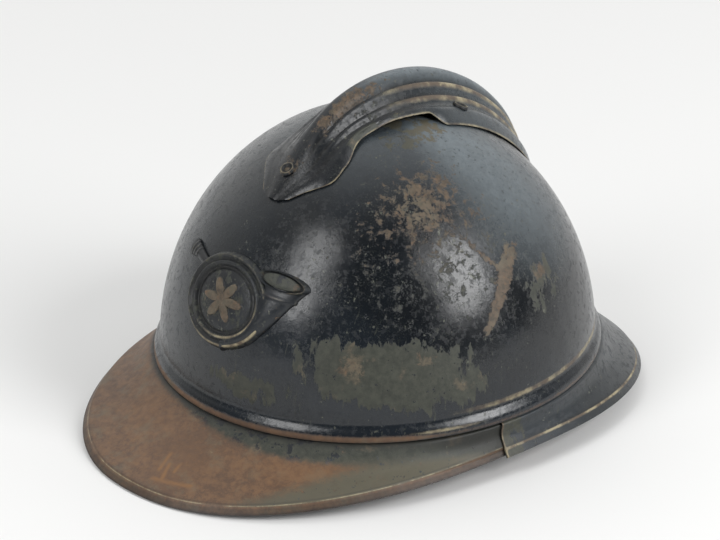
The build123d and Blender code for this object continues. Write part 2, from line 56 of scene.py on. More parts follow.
# %% [markdown]
# ## From a grid of points to a mesh
#
# Every new piece is a function of two numbers, worked out for a whole grid at once with numpy: rows
# run along the piece, columns across or around it. Four neighbours make one face. A tube or a shell
# closes its columns into a loop, and a ring closes its rows too. A sheet's section is listed up one
# face and back down the other, so a column and its partner from the far end of the list lie on the
# two faces of the sheet, and a cap that joins such partners closes an open end. Whether the faces
# look outwards is settled by the sign of the enclosed volume, not by eye. Marks are extra numbers
# kept at each point, which the materials read to know where wear belongs.

# %% Grid meshes
weld_distance = 1e-7


def grid_mesh(name, points, ring=False, loop=True, caps=False, marks=None, crease=60):
    """Object from points of shape (rows, columns, 3) in millimetres; each face joins four neighbours."""
    rows, columns = points.shape[:2]
    number = np.arange(rows * columns).reshape(rows, columns)
    near, far = number[0], number[-1]
    if ring:
        number = np.vstack([number, number[:1]])
    if loop:
        number = np.hstack([number, number[:, :1]])
    faces = np.stack([number[:-1, :-1], number[:-1, 1:], number[1:, 1:], number[1:, :-1]], -1).reshape(-1, 4)
    if caps:
        left = np.arange(columns // 2 - 1)
        pairs = np.stack([left, left + 1, columns - 2 - left, columns - 1 - left], -1)
        faces = np.vstack([faces, near[pairs[:, ::-1]], far[pairs]])
    flat = points.reshape(-1, 3)
    corners = flat[faces]
    middle = flat.mean(0)
    swept = np.cross(corners[:, 1] - corners[:, 0], corners[:, 3] - corners[:, 0])
    volume = ((corners[:, 0] - middle) * swept).sum()
    if volume < 0:
        faces = faces[:, ::-1]
    mesh = bpy.data.meshes.new(name)
    mesh.from_pydata((flat * mm).tolist(), [], faces.tolist())
    for mark, values in (marks or {}).items():
        layer = mesh.attributes.new(mark, "FLOAT", "POINT")
        layer.data.foreach_set("value", np.broadcast_to(values, (rows, columns)).ravel().astype(np.float32))
    shape = bmesh.new()
    shape.from_mesh(mesh)
    bmesh.ops.remove_doubles(shape, verts=shape.verts, dist=weld_distance)
    bmesh.ops.dissolve_degenerate(shape, edges=shape.edges, dist=weld_distance)
    shape.to_mesh(mesh)
    shape.free()
    mesh.shade_smooth()
    mesh.set_sharp_from_angle(angle=math.radians(crease))
    mesh.update()
    piece = bpy.data.objects.new(name, mesh)
    bpy.context.scene.collection.objects.link(piece)
    print(name, len(mesh.vertices), "points", len(mesh.polygons), "faces")
    return piece


def dress(piece, body, slot, material, *replaced):
    """Let a piece ride on its body, take its material, and stand for the CAD nodes it replaces. The slot's
    name is not used.
    """
    piece.data.materials.clear()
    piece.data.materials.append(material)
    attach(piece, body)
    if replaced:
        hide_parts(*replaced)
    return piece


def both_faces(values, shape, axis=0, plain=0.0):
    """A mark for the shown face of a sheet, then one plain value for its other face."""
    return np.concatenate([np.broadcast_to(values, shape), np.full(shape, plain)], axis)


# %% [markdown]
# ## Curves from a few values
#
# Two small tools shape nearly everything below. The first draws a smooth curve through a short table,
# as a draughtsman's spline does: between two entries it is a cubic whose slopes come from the
# entries' neighbours. The second rounds the corners of a polyline: each corner is cut off at an equal
# distance both ways, and a parabola joins the cuts. Both work on whole arrays.

# %% Smooth tables and rounded corners


def eased(value, low, high):
    """Smooth step: nought below low, one above high, and 3 t^2 - 2 t^3 between."""
    share = np.clip((value - low) / (high - low), 0, 1)
    return share * share * (3 - 2 * share)


def hump(value, middle, half):
    """One at the middle, falling like a bell to nearly nought two halves away: exp(-(d / half)^2)."""
    return np.exp(-((value - middle) / half) ** 2)


def through(values, places, heights):
    """Cubic curve through a table: Hermite's cubics with slopes taken across each entry's neighbours."""
    places, heights = np.asarray(places, float), np.asarray(heights, float)
    slopes = np.gradient(heights, places)
    left = np.clip(np.searchsorted(places, values, side="right") - 1, 0, len(places) - 2)
    step = places[left + 1] - places[left]
    t = np.clip((values - places[left]) / step, 0, 1)
    return ((2 * t ** 3 - 3 * t ** 2 + 1) * heights[left] + (t ** 3 - 2 * t ** 2 + t) * step * slopes[left]
            + (3 * t ** 2 - 2 * t ** 3) * heights[left + 1] + (t ** 3 - t ** 2) * step * slopes[left + 1])


def rounded(keys, radii, steps):
    """Points along polylines, keys of shape (count, lines, 2), with each corner a parabola of its radius.

    The parabola runs from the cut before the corner to the cut after it:
    (1 - t)^2 before + 2 t (1 - t) corner + t^2 after. The two ends stay as they are."""
    t = np.linspace(0, 1, steps)[:, None, None]
    runs = [keys[:1]]
    for number in range(1, len(keys) - 1):
        corner, before, after = keys[number], keys[number - 1] - keys[number], keys[number + 1] - keys[number]
        reach_before = np.linalg.norm(before, axis=-1, keepdims=True)
        reach_after = np.linalg.norm(after, axis=-1, keepdims=True)
        cut = np.minimum(radii[number], 0.48 * np.minimum(reach_before, reach_after))
        start, end = corner + before / reach_before * cut, corner + after / reach_after * cut
        runs.append((1 - t) ** 2 * start + 2 * t * (1 - t) * corner + t ** 2 * end)
    runs.append(keys[-1:])
    return np.concatenate(runs)


# %% [markdown]
# ## Where the photograph was taken from
#
# The camera's angle, distance and focal length were found by fitting the helmet's rim, crease and
# outline to the photograph with one pinhole camera. It is a long lens from well back, so the shape
# hardly converges. The camera is built from three directions: right, up and back.

# %% Camera
photo_width, focal_pixels = 720, 2600
sensor_width, farthest_seen = 36, 200
camera_turn, camera_rise, camera_roll = math.radians(45.65), math.radians(24.28), math.radians(0.61)
camera_distance, camera_shift_right = 1261.8, -9.12
look_y, look_z = 10.1, 61.16

back = np.array([math.sin(camera_turn) * math.cos(camera_rise),
                 -math.cos(camera_turn) * math.cos(camera_rise), math.sin(camera_rise)])
right = np.array([math.cos(camera_turn), math.sin(camera_turn), 0])
up = np.cross(back, right)
place = right * camera_shift_right + np.array([0, look_y, look_z]) + back * camera_distance
rolled_right = math.cos(camera_roll) * right + math.sin(camera_roll) * up
rolled_up = -math.sin(camera_roll) * right + math.cos(camera_roll) * up
lens = bpy.data.cameras.new("camera")
lens.sensor_width = sensor_width
lens.lens = focal_pixels / photo_width * sensor_width
lens.clip_end = farthest_seen
camera = bpy.data.objects.new("camera", lens)
camera.matrix_world = Matrix.Translation(place * mm) @ Matrix(
    np.stack([rolled_right, rolled_up, back], 1).tolist()).to_4x4()
bpy.context.scene.collection.objects.link(camera)
bpy.context.scene.camera = camera
bpy.context.scene.view_settings.view_transform = "Standard"
print("camera lens", round(lens.lens, 1), "mm at", np.round(place * mm, 3))

# %% [markdown]
# ## The table and the light
#
# The helmet stands on a plain pale sheet. Enamel is black glass: it shows where the light comes from
# far more than it shows its own colour. The photograph has two upright window-like lights, one in
# front of the helmet and one to its left, and a bright room behind, which edges the outline. The
# place of each light follows from its highlight: the direction of the reflection is twice the
# normal's share of the view, less the view. The room is a world that is dark towards the camera's
# side and bright behind, fixed to the object's axes.
#
# The sheet is so wide that a low view shows no edge of it, and the lamps don't reach that far. So it
# has a weak light of its own, which grows with the distance from the helmet. The camera and the
# gloss see that light, and it doesn't light the matt coats.

# %% Nodes and arithmetic for every material


def node(tree, kind, inputs=None, **settings):
    """One shader node: its settings first, then each input as a link or a plain value."""
    made = tree.nodes.new(kind)
    for name, value in settings.items():
        setattr(made, name, value)
    for name, value in (inputs or {}).items():
        if isinstance(value, bpy.types.NodeSocket):
            tree.links.new(value, made.inputs[name])
        else:
            made.inputs[name].default_value = value
    return made


def maths(tree, operation, first, second=0.0, third=0.0, clamp=False):
    """One step of arithmetic on shader values, the operation named as the maths node names it."""
    made = node(tree, "ShaderNodeMath", {0: first, 1: second, 2: third}, operation=operation, use_clamp=clamp)
    return made.outputs[0]


def times(tree, first, second, clamp=False):
    """Product of two shader values."""
    return maths(tree, "MULTIPLY", first, second, clamp=clamp)


def higher(tree, first, second):
    """The larger of two shader values: a mask that shows wherever either of two does."""
    return maths(tree, "MAXIMUM", first, second)


# %% The sheet on the table
floor_half = 60000.0
floor_colour, floor_roughness = (0.80, 0.80, 0.795), 0.9
own_light_near, own_light_far = 0.04, 0.42
near_reach, far_reach = 0.1, 3.5


def paper_material(name, colour, roughness):
    """Matt paper whose own light grows evenly from near_reach to far_reach, in metres from the object."""
    material = bpy.data.materials.new(name)
    material.use_nodes = True
    tree = material.node_tree
    path = node(tree, "ShaderNodeLightPath").outputs
    seen = higher(tree, path["Is Camera Ray"], path["Is Glossy Ray"])
    seen = higher(tree, seen, path["Is Transmission Ray"])
    spot = node(tree, "ShaderNodeTexCoord").outputs["Object"]
    reach = node(tree, "ShaderNodeVectorMath", {0: spot}, operation="LENGTH").outputs["Value"]
    growth = {"Value": reach, "From Min": near_reach, "From Max": far_reach,
              "To Min": own_light_near, "To Max": own_light_far}
    own_light = node(tree, "ShaderNodeMapRange", growth).outputs[0]
    shader = tree.nodes["Principled BSDF"]
    shader.inputs["Base Color"].default_value = (*colour, 1)
    shader.inputs["Roughness"].default_value = roughness
    shader.inputs["Emission Color"].default_value = (1, 1, 1, 1)
    tree.links.new(times(tree, seen, own_light), shader.inputs["Emission Strength"])
    return material


corner_signs = np.array([[[-1, -1, 0], [-1, 1, 0]], [[1, -1, 0], [1, 1, 0]]], float)
floor = grid_mesh("floor", corner_signs * floor_half, loop=False)
floor.data.materials.append(paper_material("floor_paper", floor_colour, floor_roughness))

# %% The room behind
world_dark, world_bright = (0.035, 0.037, 0.04), (1.0, 1.0, 0.99)
world_from, world_full, behind_lift = -0.15, 0.85, 0.9

world = bpy.data.worlds.new("room")
bpy.context.scene.world = world
world.use_nodes = True
sky = world.node_tree
sky.nodes.clear()
direction = node(sky, "ShaderNodeTexCoord").outputs["Generated"]
away = -back + np.array([0, 0, behind_lift])
away = away / np.linalg.norm(away)
behind = node(sky, "ShaderNodeVectorMath", {0: direction, 1: tuple(away)}, operation="DOT_PRODUCT")
span = {"Value": behind.outputs["Value"], "From Min": world_from, "From Max": world_full}
share = node(sky, "ShaderNodeMapRange", span, interpolation_type="SMOOTHSTEP").outputs[0]
ends = {0: share, 6: (*world_dark, 1), 7: (*world_bright, 1)}
tone = node(sky, "ShaderNodeMix", ends, data_type="RGBA").outputs[2]
glow = node(sky, "ShaderNodeBackground", {"Color": tone, "Strength": 1.0})
node(sky, "ShaderNodeOutputWorld", {"Surface": glow.outputs[0]})
print("room brightest towards", np.round(away, 2))

# %% The two windows
lamp_distance, lit_height = 2.4, 0.09


def window_light(name, toward, width, height, brightness):
    """Upright area light that looks at the bowl; brightness is how bright its face is, paper being one."""
    lamp = bpy.data.lights.new(name, "AREA")
    lamp.shape, lamp.size, lamp.size_y = "RECTANGLE", width, height
    lamp.energy = math.pi * width * height * brightness
    toward = np.array(toward) / np.linalg.norm(toward)
    side = np.cross([0, 0, 1], toward)
    side /= np.linalg.norm(side)
    axes = np.stack([side, np.cross(toward, side), toward], 1)
    bulb = bpy.data.objects.new(name, lamp)
    stand = Matrix.Translation(np.array([0, 0, lit_height]) + toward * lamp_distance)
    bulb.matrix_world = stand @ Matrix(axes.tolist()).to_4x4()
    bpy.context.scene.collection.objects.link(bulb)
    print(name, "at", np.round(bulb.matrix_world.translation, 2), round(lamp.energy, 1), "W")


window_light("front_window", (-0.006, -0.805, 0.590), 0.80, 1.65, 6.6)
window_light("left_window", (0.825, 0.215, 0.530), 1.10, 1.30, 9.6)

# %% [markdown]
# ## Sizes shared with the CAD
#
# These are the same driving sizes as in the part's source, in millimetres: a bowl that is half an
# ellipsoid tilted back a little, a brim that follows two half super-ellipses, and the crest's tables
# of shares along and across its length.

# %% Named sizes
steel = 0.7
bowl_half_width, bowl_half_length, bowl_height = 104.5, 108.4, 117.5
foot_height, foot_rise = 27.0, 4.0
flare_height, waist_reach, waist_height = 9.0, 1.0, 5.6
bead_reach, bead_lip = 2.9, 0.3
front_reach, rear_reach = 160.2, 139.8
rim_half_width, rim_widest_back, rim_power = 112.7, 12.0, 2.13
side_rise, rest_flat = 10.4, 0.3
upstand_height, upstand_reach = 2.0, 1.7
crease_reach, crease_drop, brim_bow = 3.7, 0.5, 2.2
hem_width, hem_fall, hem_sheet, hem_step, hem_tip = 3.1, 3.9, 1.5, 0.9, 0.10
seam_angle, lap_angle, lap_gap = 12.5, 9.0, 0.45
bowl_y = (front_reach - rear_reach) / 2
foot_tilt = math.atan2(foot_rise, bowl_half_length)
oval = bowl_half_width / bowl_half_length


def stood(points):
    """Points drawn in the bowl's own frame, turned by the foot's tilt about X and lifted to the foot."""
    x, y, z = np.moveaxis(points, -1, 0)
    return np.stack([x, bowl_y + y * math.cos(foot_tilt) - z * math.sin(foot_tilt),
                     foot_height + y * math.sin(foot_tilt) + z * math.cos(foot_tilt)], -1)


def arc_through(start, end, heading, steps):
    """Points on the one circle that leaves start along its heading and passes through end."""
    start, end, heading = (np.asarray(value, float) for value in (start, end, heading))
    chord = end - start
    turn = 2 * math.atan2(heading[0] * chord[1] - heading[1] * chord[0], heading @ chord)
    radius = np.linalg.norm(chord) / (2 * math.sin(turn / 2))
    centre = start + radius * np.array([-heading[1], heading[0]]) / np.linalg.norm(heading)
    spoke = start - centre
    angle = turn * np.linspace(0, 1, steps)[:, None]
    points = centre + spoke * np.cos(angle) + np.array([-spoke[1], spoke[0]]) * np.sin(angle)
    leaving = np.array([heading[0] * math.cos(turn) - heading[1] * math.sin(turn),
                        heading[0] * math.sin(turn) + heading[1] * math.cos(turn)])
    return points, leaving


print("bowl", 2 * bowl_half_width, "x", 2 * bowl_half_length, "x", bowl_height, "mm, tilted",
      round(math.degrees(foot_tilt), 2), "degrees")

# %% [markdown]
# ## Enamel that has been chipped, rubbed and rusted
#
# The paint is a stack. Under everything is steel, which has gone to brown rust. Over it lies a
# grey-green undercoat, and over that a blue-black stoved enamel. Wear takes the coats off from the
# top, so the material is built from the top coat down: each coat is laid over the last one with a
# mask. A mask is a mark kept on the mesh, which says how likely wear is at a place, plus a noise that
# makes its edge ragged, cut off sharply. The lost coats also show in the relief, because the mask
# drives a bump, and in the gloss, because bare metal and undercoat are dull.
#
# The enamel that is left has a grey bloom, which is partly a painted sheen, a painted reflection of
# the room that is lighter towards the crown and on the crest's ridge. It has dust in its grain, faint
# scuffs and small grey chips. The mark called matt takes its gloss away. The marks called patina and
# warm lay on the brown of steel that has been bare for long, and rubbed edges come last, with grime
# that is partly painted shade: near black in grooves, creases, hollows and the gaps between parts.

# %% Masks and coats from nodes


def laid_over(tree, mask, under, over):
    """One coat over another: mask nought shows the one under, one shows the one over."""
    values = {0: mask, 6: under if isinstance(under, bpy.types.NodeSocket) else (*under, 1),
              7: over if isinstance(over, bpy.types.NodeSocket) else (*over, 1)}
    return node(tree, "ShaderNodeMix", values, data_type="RGBA").outputs[2]


def between(tree, share, low, high):
    """A plain number that goes from low to high with share."""
    return node(tree, "ShaderNodeMix", {0: share, 2: low, 3: high}, data_type="FLOAT").outputs[0]


def cut(tree, value, low, high):
    """Mask: nought below low, one above high, smooth between."""
    inputs = {"Value": value, "From Min": low, "From Max": high}
    return node(tree, "ShaderNodeMapRange", inputs, interpolation_type="SMOOTHSTEP").outputs[0]


def patched(tree, under, over, noise, low, high, share=1.0):
    """One colour with another in patches, a share strong, where the noise passes from low to high."""
    return laid_over(tree, times(tree, cut(tree, noise, low, high), share), under, over)


def mark(tree, name):
    """The mark of that name, as kept on the mesh at each point."""
    return node(tree, "ShaderNodeAttribute", attribute_name=name).outputs["Fac"]


def stretched(tree, where, scale):
    """Places drawn out along each axis by one over the scale, for noises that run one way."""
    return node(tree, "ShaderNodeMapping", {"Vector": where, "Scale": scale}).outputs[0]


def cloud(tree, where, scale, detail=5.0, roughness=0.62, distortion=0.0):
    """Fractal noise, about a half on average; scale is in features to the metre."""
    inputs = {"Vector": where, "Scale": scale, "Detail": detail, "Roughness": roughness,
              "Distortion": distortion}
    return node(tree, "ShaderNodeTexNoise", inputs).outputs["Fac"]


def summed(tree, base, *shares):
    """A shader value plus a share of each of some others, which come as pairs of share and value."""
    for share, value in shares:
        base = maths(tree, "MULTIPLY_ADD", value, share, base)
    return base


def ragged(tree, likely, noise, spread, soft=0.03):
    """Mask with a torn edge: the mark plus noise about its middle, cut off at a half."""
    value = summed(tree, likely, (spread, maths(tree, "SUBTRACT", noise, 0.5)))
    return cut(tree, value, 0.5 - soft, 0.5 + soft)


# %% The start and the end of a material


def empty_material(name):
    """A new material and its node tree, with nothing in it."""
    material = bpy.data.materials.new(name)
    material.use_nodes = True
    material.node_tree.nodes.clear()
    return material, material.node_tree


def finish_material(tree, height, depth, inputs):
    """End a tree in one principled surface, its bump following a height scaled to depth, in metres."""
    bump = node(tree, "ShaderNodeBump", {"Height": height, "Distance": depth, "Strength": 1.0})
    shader = node(tree, "ShaderNodeBsdfPrincipled", {**inputs, "Normal": bump.outputs[0]})
    node(tree, "ShaderNodeOutputMaterial", {"Surface": shader.outputs[0]})


# %% The paint's colours


def shade(red, green, blue):
    """A colour as it looks on screen, 0 to 255, turned into the linear values that shaders use."""
    screen = [value / 255 for value in (red, green, blue)]
    return tuple(float(((c + 0.055) / 1.055) ** 2.4) if c > 10 / 255 else c / 12.92 for c in screen)


enamel_dark, enamel_light = shade(12, 15, 19), shade(26, 31, 37)
# The bloom's blue-grey is partly a painted sheen: a painted reflection of the room.
bloom_sheen_grey, chip_grey = shade(98, 107, 112), shade(92, 94, 84)
undercoat_dark, undercoat_light = shade(44, 47, 41), shade(66, 68, 59)
# The grime's near black is partly painted shade, in grooves, creases, hollows and gaps between parts.
primer_cream, grime_and_shade_black = shade(176, 164, 132), shade(20, 20, 19)
rust_dark, rust_brown, rust_orange = shade(62, 54, 44), shade(98, 83, 67), shade(128, 92, 58)
patina_dark, patina_light, patina_olive = shade(86, 66, 52), shade(116, 88, 64), shade(102, 96, 80)
print("enamel between", np.round(enamel_dark, 4), "and", np.round(enamel_light, 4))

# %% The noises that tear the edges


def enamel_noises(tree):
    """The noises that tear the masks' edges, by name, from broad clouds to grit."""
    where = node(tree, "ShaderNodeTexCoord").outputs["Object"]
    running = stretched(tree, where, (1, 1, 0.32))
    scratched = stretched(tree, where, (1, 0.35, 0.06))
    return {"broad": cloud(tree, where, 14, 3), "patchy": cloud(tree, where, 70, 6, 0.68),
            "fine": cloud(tree, where, 330, 6, 0.7), "grit": cloud(tree, where, 1100, 4, 0.7),
            "runs": cloud(tree, running, 190, 5, 0.66), "lace": cloud(tree, where, 210, 9, 0.78, 0.3),
            "chips": cloud(tree, where, 480, 3, 0.6), "scratch": cloud(tree, scratched, 900, 3, 0.5)}


# %% The enamel that is left


def top_coat(tree, noise):
    """Colour of the enamel left, and masks of its bloom and painted sheen, its dust and its grey chips."""
    colour = patched(tree, enamel_dark, enamel_light, noise["broad"], 0.35, 0.7)
    # Bloom and painted sheen: the mark lightens the enamel to blue-grey where the room's reflection lies.
    bloom_and_sheen = times(tree, mark(tree, "bloom_and_sheen"), between(tree, noise["lace"], 0.10, 1.80), clamp=True)
    colour = laid_over(tree, bloom_and_sheen, colour, bloom_sheen_grey)
    holes = times(tree, cut(tree, noise["chips"], 0.60, 0.66), times(tree, bloom_and_sheen, 0.8))
    colour = laid_over(tree, holes, colour, enamel_dark)
    dust = between(tree, mark(tree, "speckle"), 0.05, 0.75)
    dust = times(tree, cut(tree, noise["grit"], 0.52, 0.72), dust)
    dust = times(tree, dust, cut(tree, noise["patchy"], 0.34, 0.66))
    scuffs = times(tree, cut(tree, noise["scratch"], 0.64, 0.72), cut(tree, noise["broad"], 0.42, 0.62))
    dust = higher(tree, dust, times(tree, scuffs, 0.6))
    colour = laid_over(tree, dust, colour, undercoat_light)
    chips = cut(tree, summed(tree, noise["chips"], (0.10, mark(tree, "speckle"))), 0.715, 0.745)
    chips = times(tree, chips, cut(tree, noise["patchy"], 0.46, 0.60))
    return laid_over(tree, chips, colour, chip_grey), bloom_and_sheen, dust, chips


# %% Undercoat, rusty steel and patina


def undercoat_coat(tree, noise):
    """Mask of the undercoat's patches, mask of all places where it shows, and its colour."""
    tone = patched(tree, undercoat_dark, undercoat_light, noise["fine"], 0.3, 0.7)
    tone = laid_over(tree, times(tree, mark(tree, "bloom_and_sheen"), 0.7), tone, patina_olive)
    patches = ragged(tree, mark(tree, "undercoat"), noise["runs"], 1.35)
    patches = times(tree, patches, maths(tree, "SUBTRACT", 1.0, cut(tree, noise["chips"], 0.64, 0.68)))
    flecks = ragged(tree, between(tree, mark(tree, "speckle"), 0.0, 0.42), noise["lace"], 1.25, 0.05)
    return patches, higher(tree, patches, flecks), tone


def bare_coat(tree, noise, patches):
    """Mask and colour of rusty steel: where its mark says, and in pits of the undercoat's patches."""
    tone = patched(tree, rust_dark, rust_brown, noise["fine"], 0.35, 0.65)
    tone = patched(tree, tone, rust_orange, noise["chips"], 0.56, 0.68, 0.35)
    tone = patched(tree, tone, patina_olive, noise["patchy"], 0.48, 0.62, 0.5)
    bare = ragged(tree, mark(tree, "bare"), noise["lace"], 2.2, 0.06)
    pits = ragged(tree, times(tree, patches, 0.30), noise["patchy"], 1.6, 0.10)
    return higher(tree, bare, pits), tone


def patina_coat(tree, noise):
    """Mask and colour of the brown on steel that has been bare for long, more orange where it is warm."""
    tone = patched(tree, patina_dark, patina_light, noise["lace"], 0.36, 0.64)
    tone = patched(tree, tone, patina_dark, noise["broad"], 0.50, 0.62, 0.6)
    tone = patched(tree, tone, rust_orange, noise["chips"], 0.50, 0.70, 0.25)
    tone = patched(tree, tone, patina_olive, noise["patchy"], 0.50, 0.66, 0.5)
    warm = times(tree, mark(tree, "warm"), between(tree, noise["fine"], 0.2, 1.5), clamp=True)
    uneven = summed(tree, mark(tree, "patina"), (0.8, maths(tree, "SUBTRACT", noise["fine"], 0.5)))
    return cut(tree, uneven, 0.12, 0.88), laid_over(tree, warm, tone, rust_orange)


# %% The worn enamel as a whole
enamel_gloss, enamel_depth, enamel_index = (0.05, 0.24), 0.00012, 1.5


def worn_enamel(name):
    """The coats laid over each other, then rubbed edges, grime and painted shade, with a gloss and relief to
    match.
    """
    material, tree = empty_material(name)
    noise = enamel_noises(tree)
    colour, bloom_and_sheen, dust, chips = top_coat(tree, noise)
    patches, lost, tone = undercoat_coat(tree, noise)
    colour = laid_over(tree, lost, colour, tone)
    bare, tone = bare_coat(tree, noise, patches)
    colour = laid_over(tree, bare, colour, tone)
    patina, tone = patina_coat(tree, noise)
    colour = laid_over(tree, patina, colour, tone)

    rubbed = times(tree, mark(tree, "rubbed"), between(tree, noise["lace"], 0.3, 1.7))
    rubbed = cut(tree, rubbed, 0.22, 0.62)
    tone = patched(tree, rust_brown, primer_cream, noise["patchy"], 0.42, 0.6)
    colour = laid_over(tree, times(tree, rubbed, 0.8), colour, tone)
    # Grime and painted shade: near black in grooves, creases, hollows and the gaps between parts.
    grime_and_shade = times(tree, mark(tree, "grime_and_shade"), between(tree, noise["fine"], 0.5, 1.2), clamp=True)
    colour = laid_over(tree, grime_and_shade, colour, grime_and_shade_black)

    dull = higher(tree, higher(tree, lost, bare), higher(tree, patina, rubbed))
    gloss = summed(tree, between(tree, noise["patchy"], *enamel_gloss), (0.30, mark(tree, "matt")),
                   (0.08, noise["grit"]), (0.22, cut(tree, noise["fine"], 0.50, 0.64)), (0.35, dust),
                   (0.22, bloom_and_sheen))
    roughness = between(tree, dull, gloss, between(tree, noise["fine"], 0.42, 0.68))
    height = summed(tree, times(tree, noise["fine"], 0.8), (-0.6, dull), (0.30, noise["grit"]),
                    (-0.5, chips), (14.0, noise["broad"]))
    finish_material(tree, height, enamel_depth,
                    {"Base Color": colour, "Roughness": roughness, "IOR": enamel_index})
    return material


enamel = worn_enamel("worn_enamel")
print("enamel nodes", len(enamel.node_tree.nodes))

# %% [markdown]
# ## The bowl
#
# The bowl is one deep-drawn pressing. Its profile is a quarter of an ellipse that flares at the foot
# into a bead, drawn here with two arcs that meet smoothly, and carried round an oval. Near the crown
# the rings change from ovals into the outline of the vent slot, so that the sheet ends at a clean
# slot. The inside is the same surface moved in by the sheet's thickness, and the two are joined at
# the bead's lip and at the slot's edge.

# %% Bowl surface
vent_half_length, vent_half_width = 26.0, 7.0
blend_start = 55.0


def bowl_rings(depth):
    """Radius and height of each ring from the lip to the vent, a depth inside the bowl's outside."""
    wall_start = math.asin(flare_height / bowl_height)
    half, tall = bowl_half_length - depth, bowl_height - depth
    top = (half * math.cos(wall_start), tall * math.sin(wall_start))
    waist = np.array([bowl_half_length + waist_reach, waist_height])
    outer_start = np.array([bowl_half_length * math.cos(wall_start), flare_height])
    flow = arc_through(outer_start, waist, (0, -1), 2)[1]
    waist = waist + depth * np.array([flow[1], -flow[0]])
    flare, heading = arc_through(top, waist, (0, -1), 9)
    bead = arc_through(waist, (bowl_half_length + bead_reach - depth, bead_lip), heading, 12)[0]
    angle = np.linspace(wall_start, math.acos(blend_start / half), 90)
    wall = np.stack([half * np.cos(angle), tall * np.sin(angle)], -1)
    return np.concatenate([bead[::-1], flare[-2::-1], wall[1:]])


def slot_reach(turn):
    """Distance from the middle to a slot's outline: its flat side, or the circle at either end."""
    centre = vent_half_length - vent_half_width
    across, along = np.abs(np.cos(turn)), np.abs(np.sin(turn))
    flat = vent_half_width / np.maximum(across, 1e-9)
    end = centre * along + np.sqrt(np.maximum(vent_half_width ** 2 - (centre * across) ** 2, 0))
    return np.where(flat * along <= centre, flat, end)


def bowl_shell(depth, turns, crown_rows=26):
    """Grid over rings and turns: x = reach cos(turn) oval, y = reach sin(turn), z on the ellipsoid."""
    rings = bowl_rings(depth)
    reach = np.repeat(rings[:, :1], len(turns), 1)
    height = np.repeat(rings[:, 1:], len(turns), 1)
    x, y = reach * np.cos(turns) * oval, reach * np.sin(turns)
    share = np.linspace(0, 1, crown_rows + 1)[1:, None]
    plan = np.arctan2(y[-1], x[-1])
    last = np.hypot(x[-1], y[-1])
    crown = last * (1 - share) + slot_reach(plan) * share
    crown_x, crown_y = crown * np.cos(plan), crown * np.sin(plan)
    half_x, half_y = (bowl_half_length - depth) * oval, bowl_half_length - depth
    crown_z = (bowl_height - depth) * np.sqrt(1 - (crown_x / half_x) ** 2 - (crown_y / half_y) ** 2)
    return np.stack([np.vstack([x, crown_x]), np.vstack([y, crown_y]), np.vstack([height, crown_z])], -1)


profile = bowl_rings(0)
print("bowl profile of", len(profile), "rings, its lip", round(float(profile[0, 0]), 1), "mm out")

# %% [markdown]
# ## Where the bowl is worn
#
# Wear is placed in two angles: the turn round the bowl, nought at the wearer's left and minus ninety
# at the front, and the rise from the foot to the crown. Each worn place is a soft oval in those two
# angles, or a slanting run, worked out for every point of the grid. Where several meet, the
# strongest counts. The bloom's ovals are also a painted sheen, and the grime at the foot is painted
# shade, placed the same way.

# %% Angles over the bowl
turn_step = 1.2
turns = np.radians(np.arange(0, 360, turn_step))
outside, inside = bowl_shell(0, turns), bowl_shell(steel, turns)
turn_of = np.degrees(np.arctan2(outside[..., 1] / bowl_half_length, outside[..., 0] / bowl_half_width))
rise_of = np.degrees(np.arcsin(np.clip(outside[..., 2] / bowl_height, 0, 1)))
height_of = outside[..., 2]
from_front = np.abs((turn_of + 270) % 360 - 180)
from_right = (turn_of + 350) % 360 - 180
print("bowl grid of", turn_of.shape[0], "rings and", turn_of.shape[1], "turns on either face")

# %% Worn ovals and runs


def strongest(*marks):
    """The highest of several marks at each point."""
    return np.maximum.reduce(np.broadcast_arrays(*marks))


def worn_oval(strength, middle_turn, middle_rise, half_turn, half_rise, lean=0.0, power=2.6):
    """Above half its strength inside an oval, below it outside: 1.5 less (|x / a|^p + |y / b|^p)^(1 / p).
    Lean tilts it, in degrees of rise for each of turn."""
    away_turn = (turn_of - middle_turn + 180) % 360 - 180
    away_rise = rise_of - middle_rise - lean * away_turn
    sides = np.abs(away_turn / half_turn) ** power + np.abs(away_rise / half_rise) ** power
    return strength * np.clip(1.5 - sides ** (1 / power), 0, 1)


def streak(strength, middle_turn, middle_rise, lean, half_width, low, high):
    """Above half its strength within half_width of a slanting line, from low to high in rise."""
    away = np.abs(turn_of - middle_turn - lean * (rise_of - middle_rise)) / half_width
    ends = eased(rise_of, low - 1.5, low + 1.5) * (1 - eased(rise_of, high - 2, high + 2))
    return strength * np.clip(1.5 - away, 0, 1) * ends


# %% The bowl's marks
crest_shadow = hump(turn_of, 5, 70) * eased(rise_of, 66, 73) * (1 - eased(rise_of, 84, 88))
undercoat_mark = strongest(
    worn_oval(0.90, -40, 14.8, 24, 8.0, -0.10), worn_oval(0.62, -78, 9, 14, 4),
    worn_oval(0.50, 10, 27, 12, 8), 0.52 * crest_shadow)
bare_mark = strongest(
    worn_oval(0.54, -20, 55, 22, 11, 0.25, 2), worn_oval(0.40, -22, 53, 36, 18, 0.1, 2),
    streak(0.78, -3.5, 31, 1.0, 1.6 + 0.15 * np.clip(rise_of - 20, 0, 20), 20.5, 39),
    streak(0.62, -5.5, 36, -0.9, 1.4, 32, 43), worn_oval(0.60, 11, 29.5, 3.4, 2.2),
    worn_oval(0.58, -50, 17, 4, 3.5), worn_oval(0.50, -31, 18.5, 3, 2))
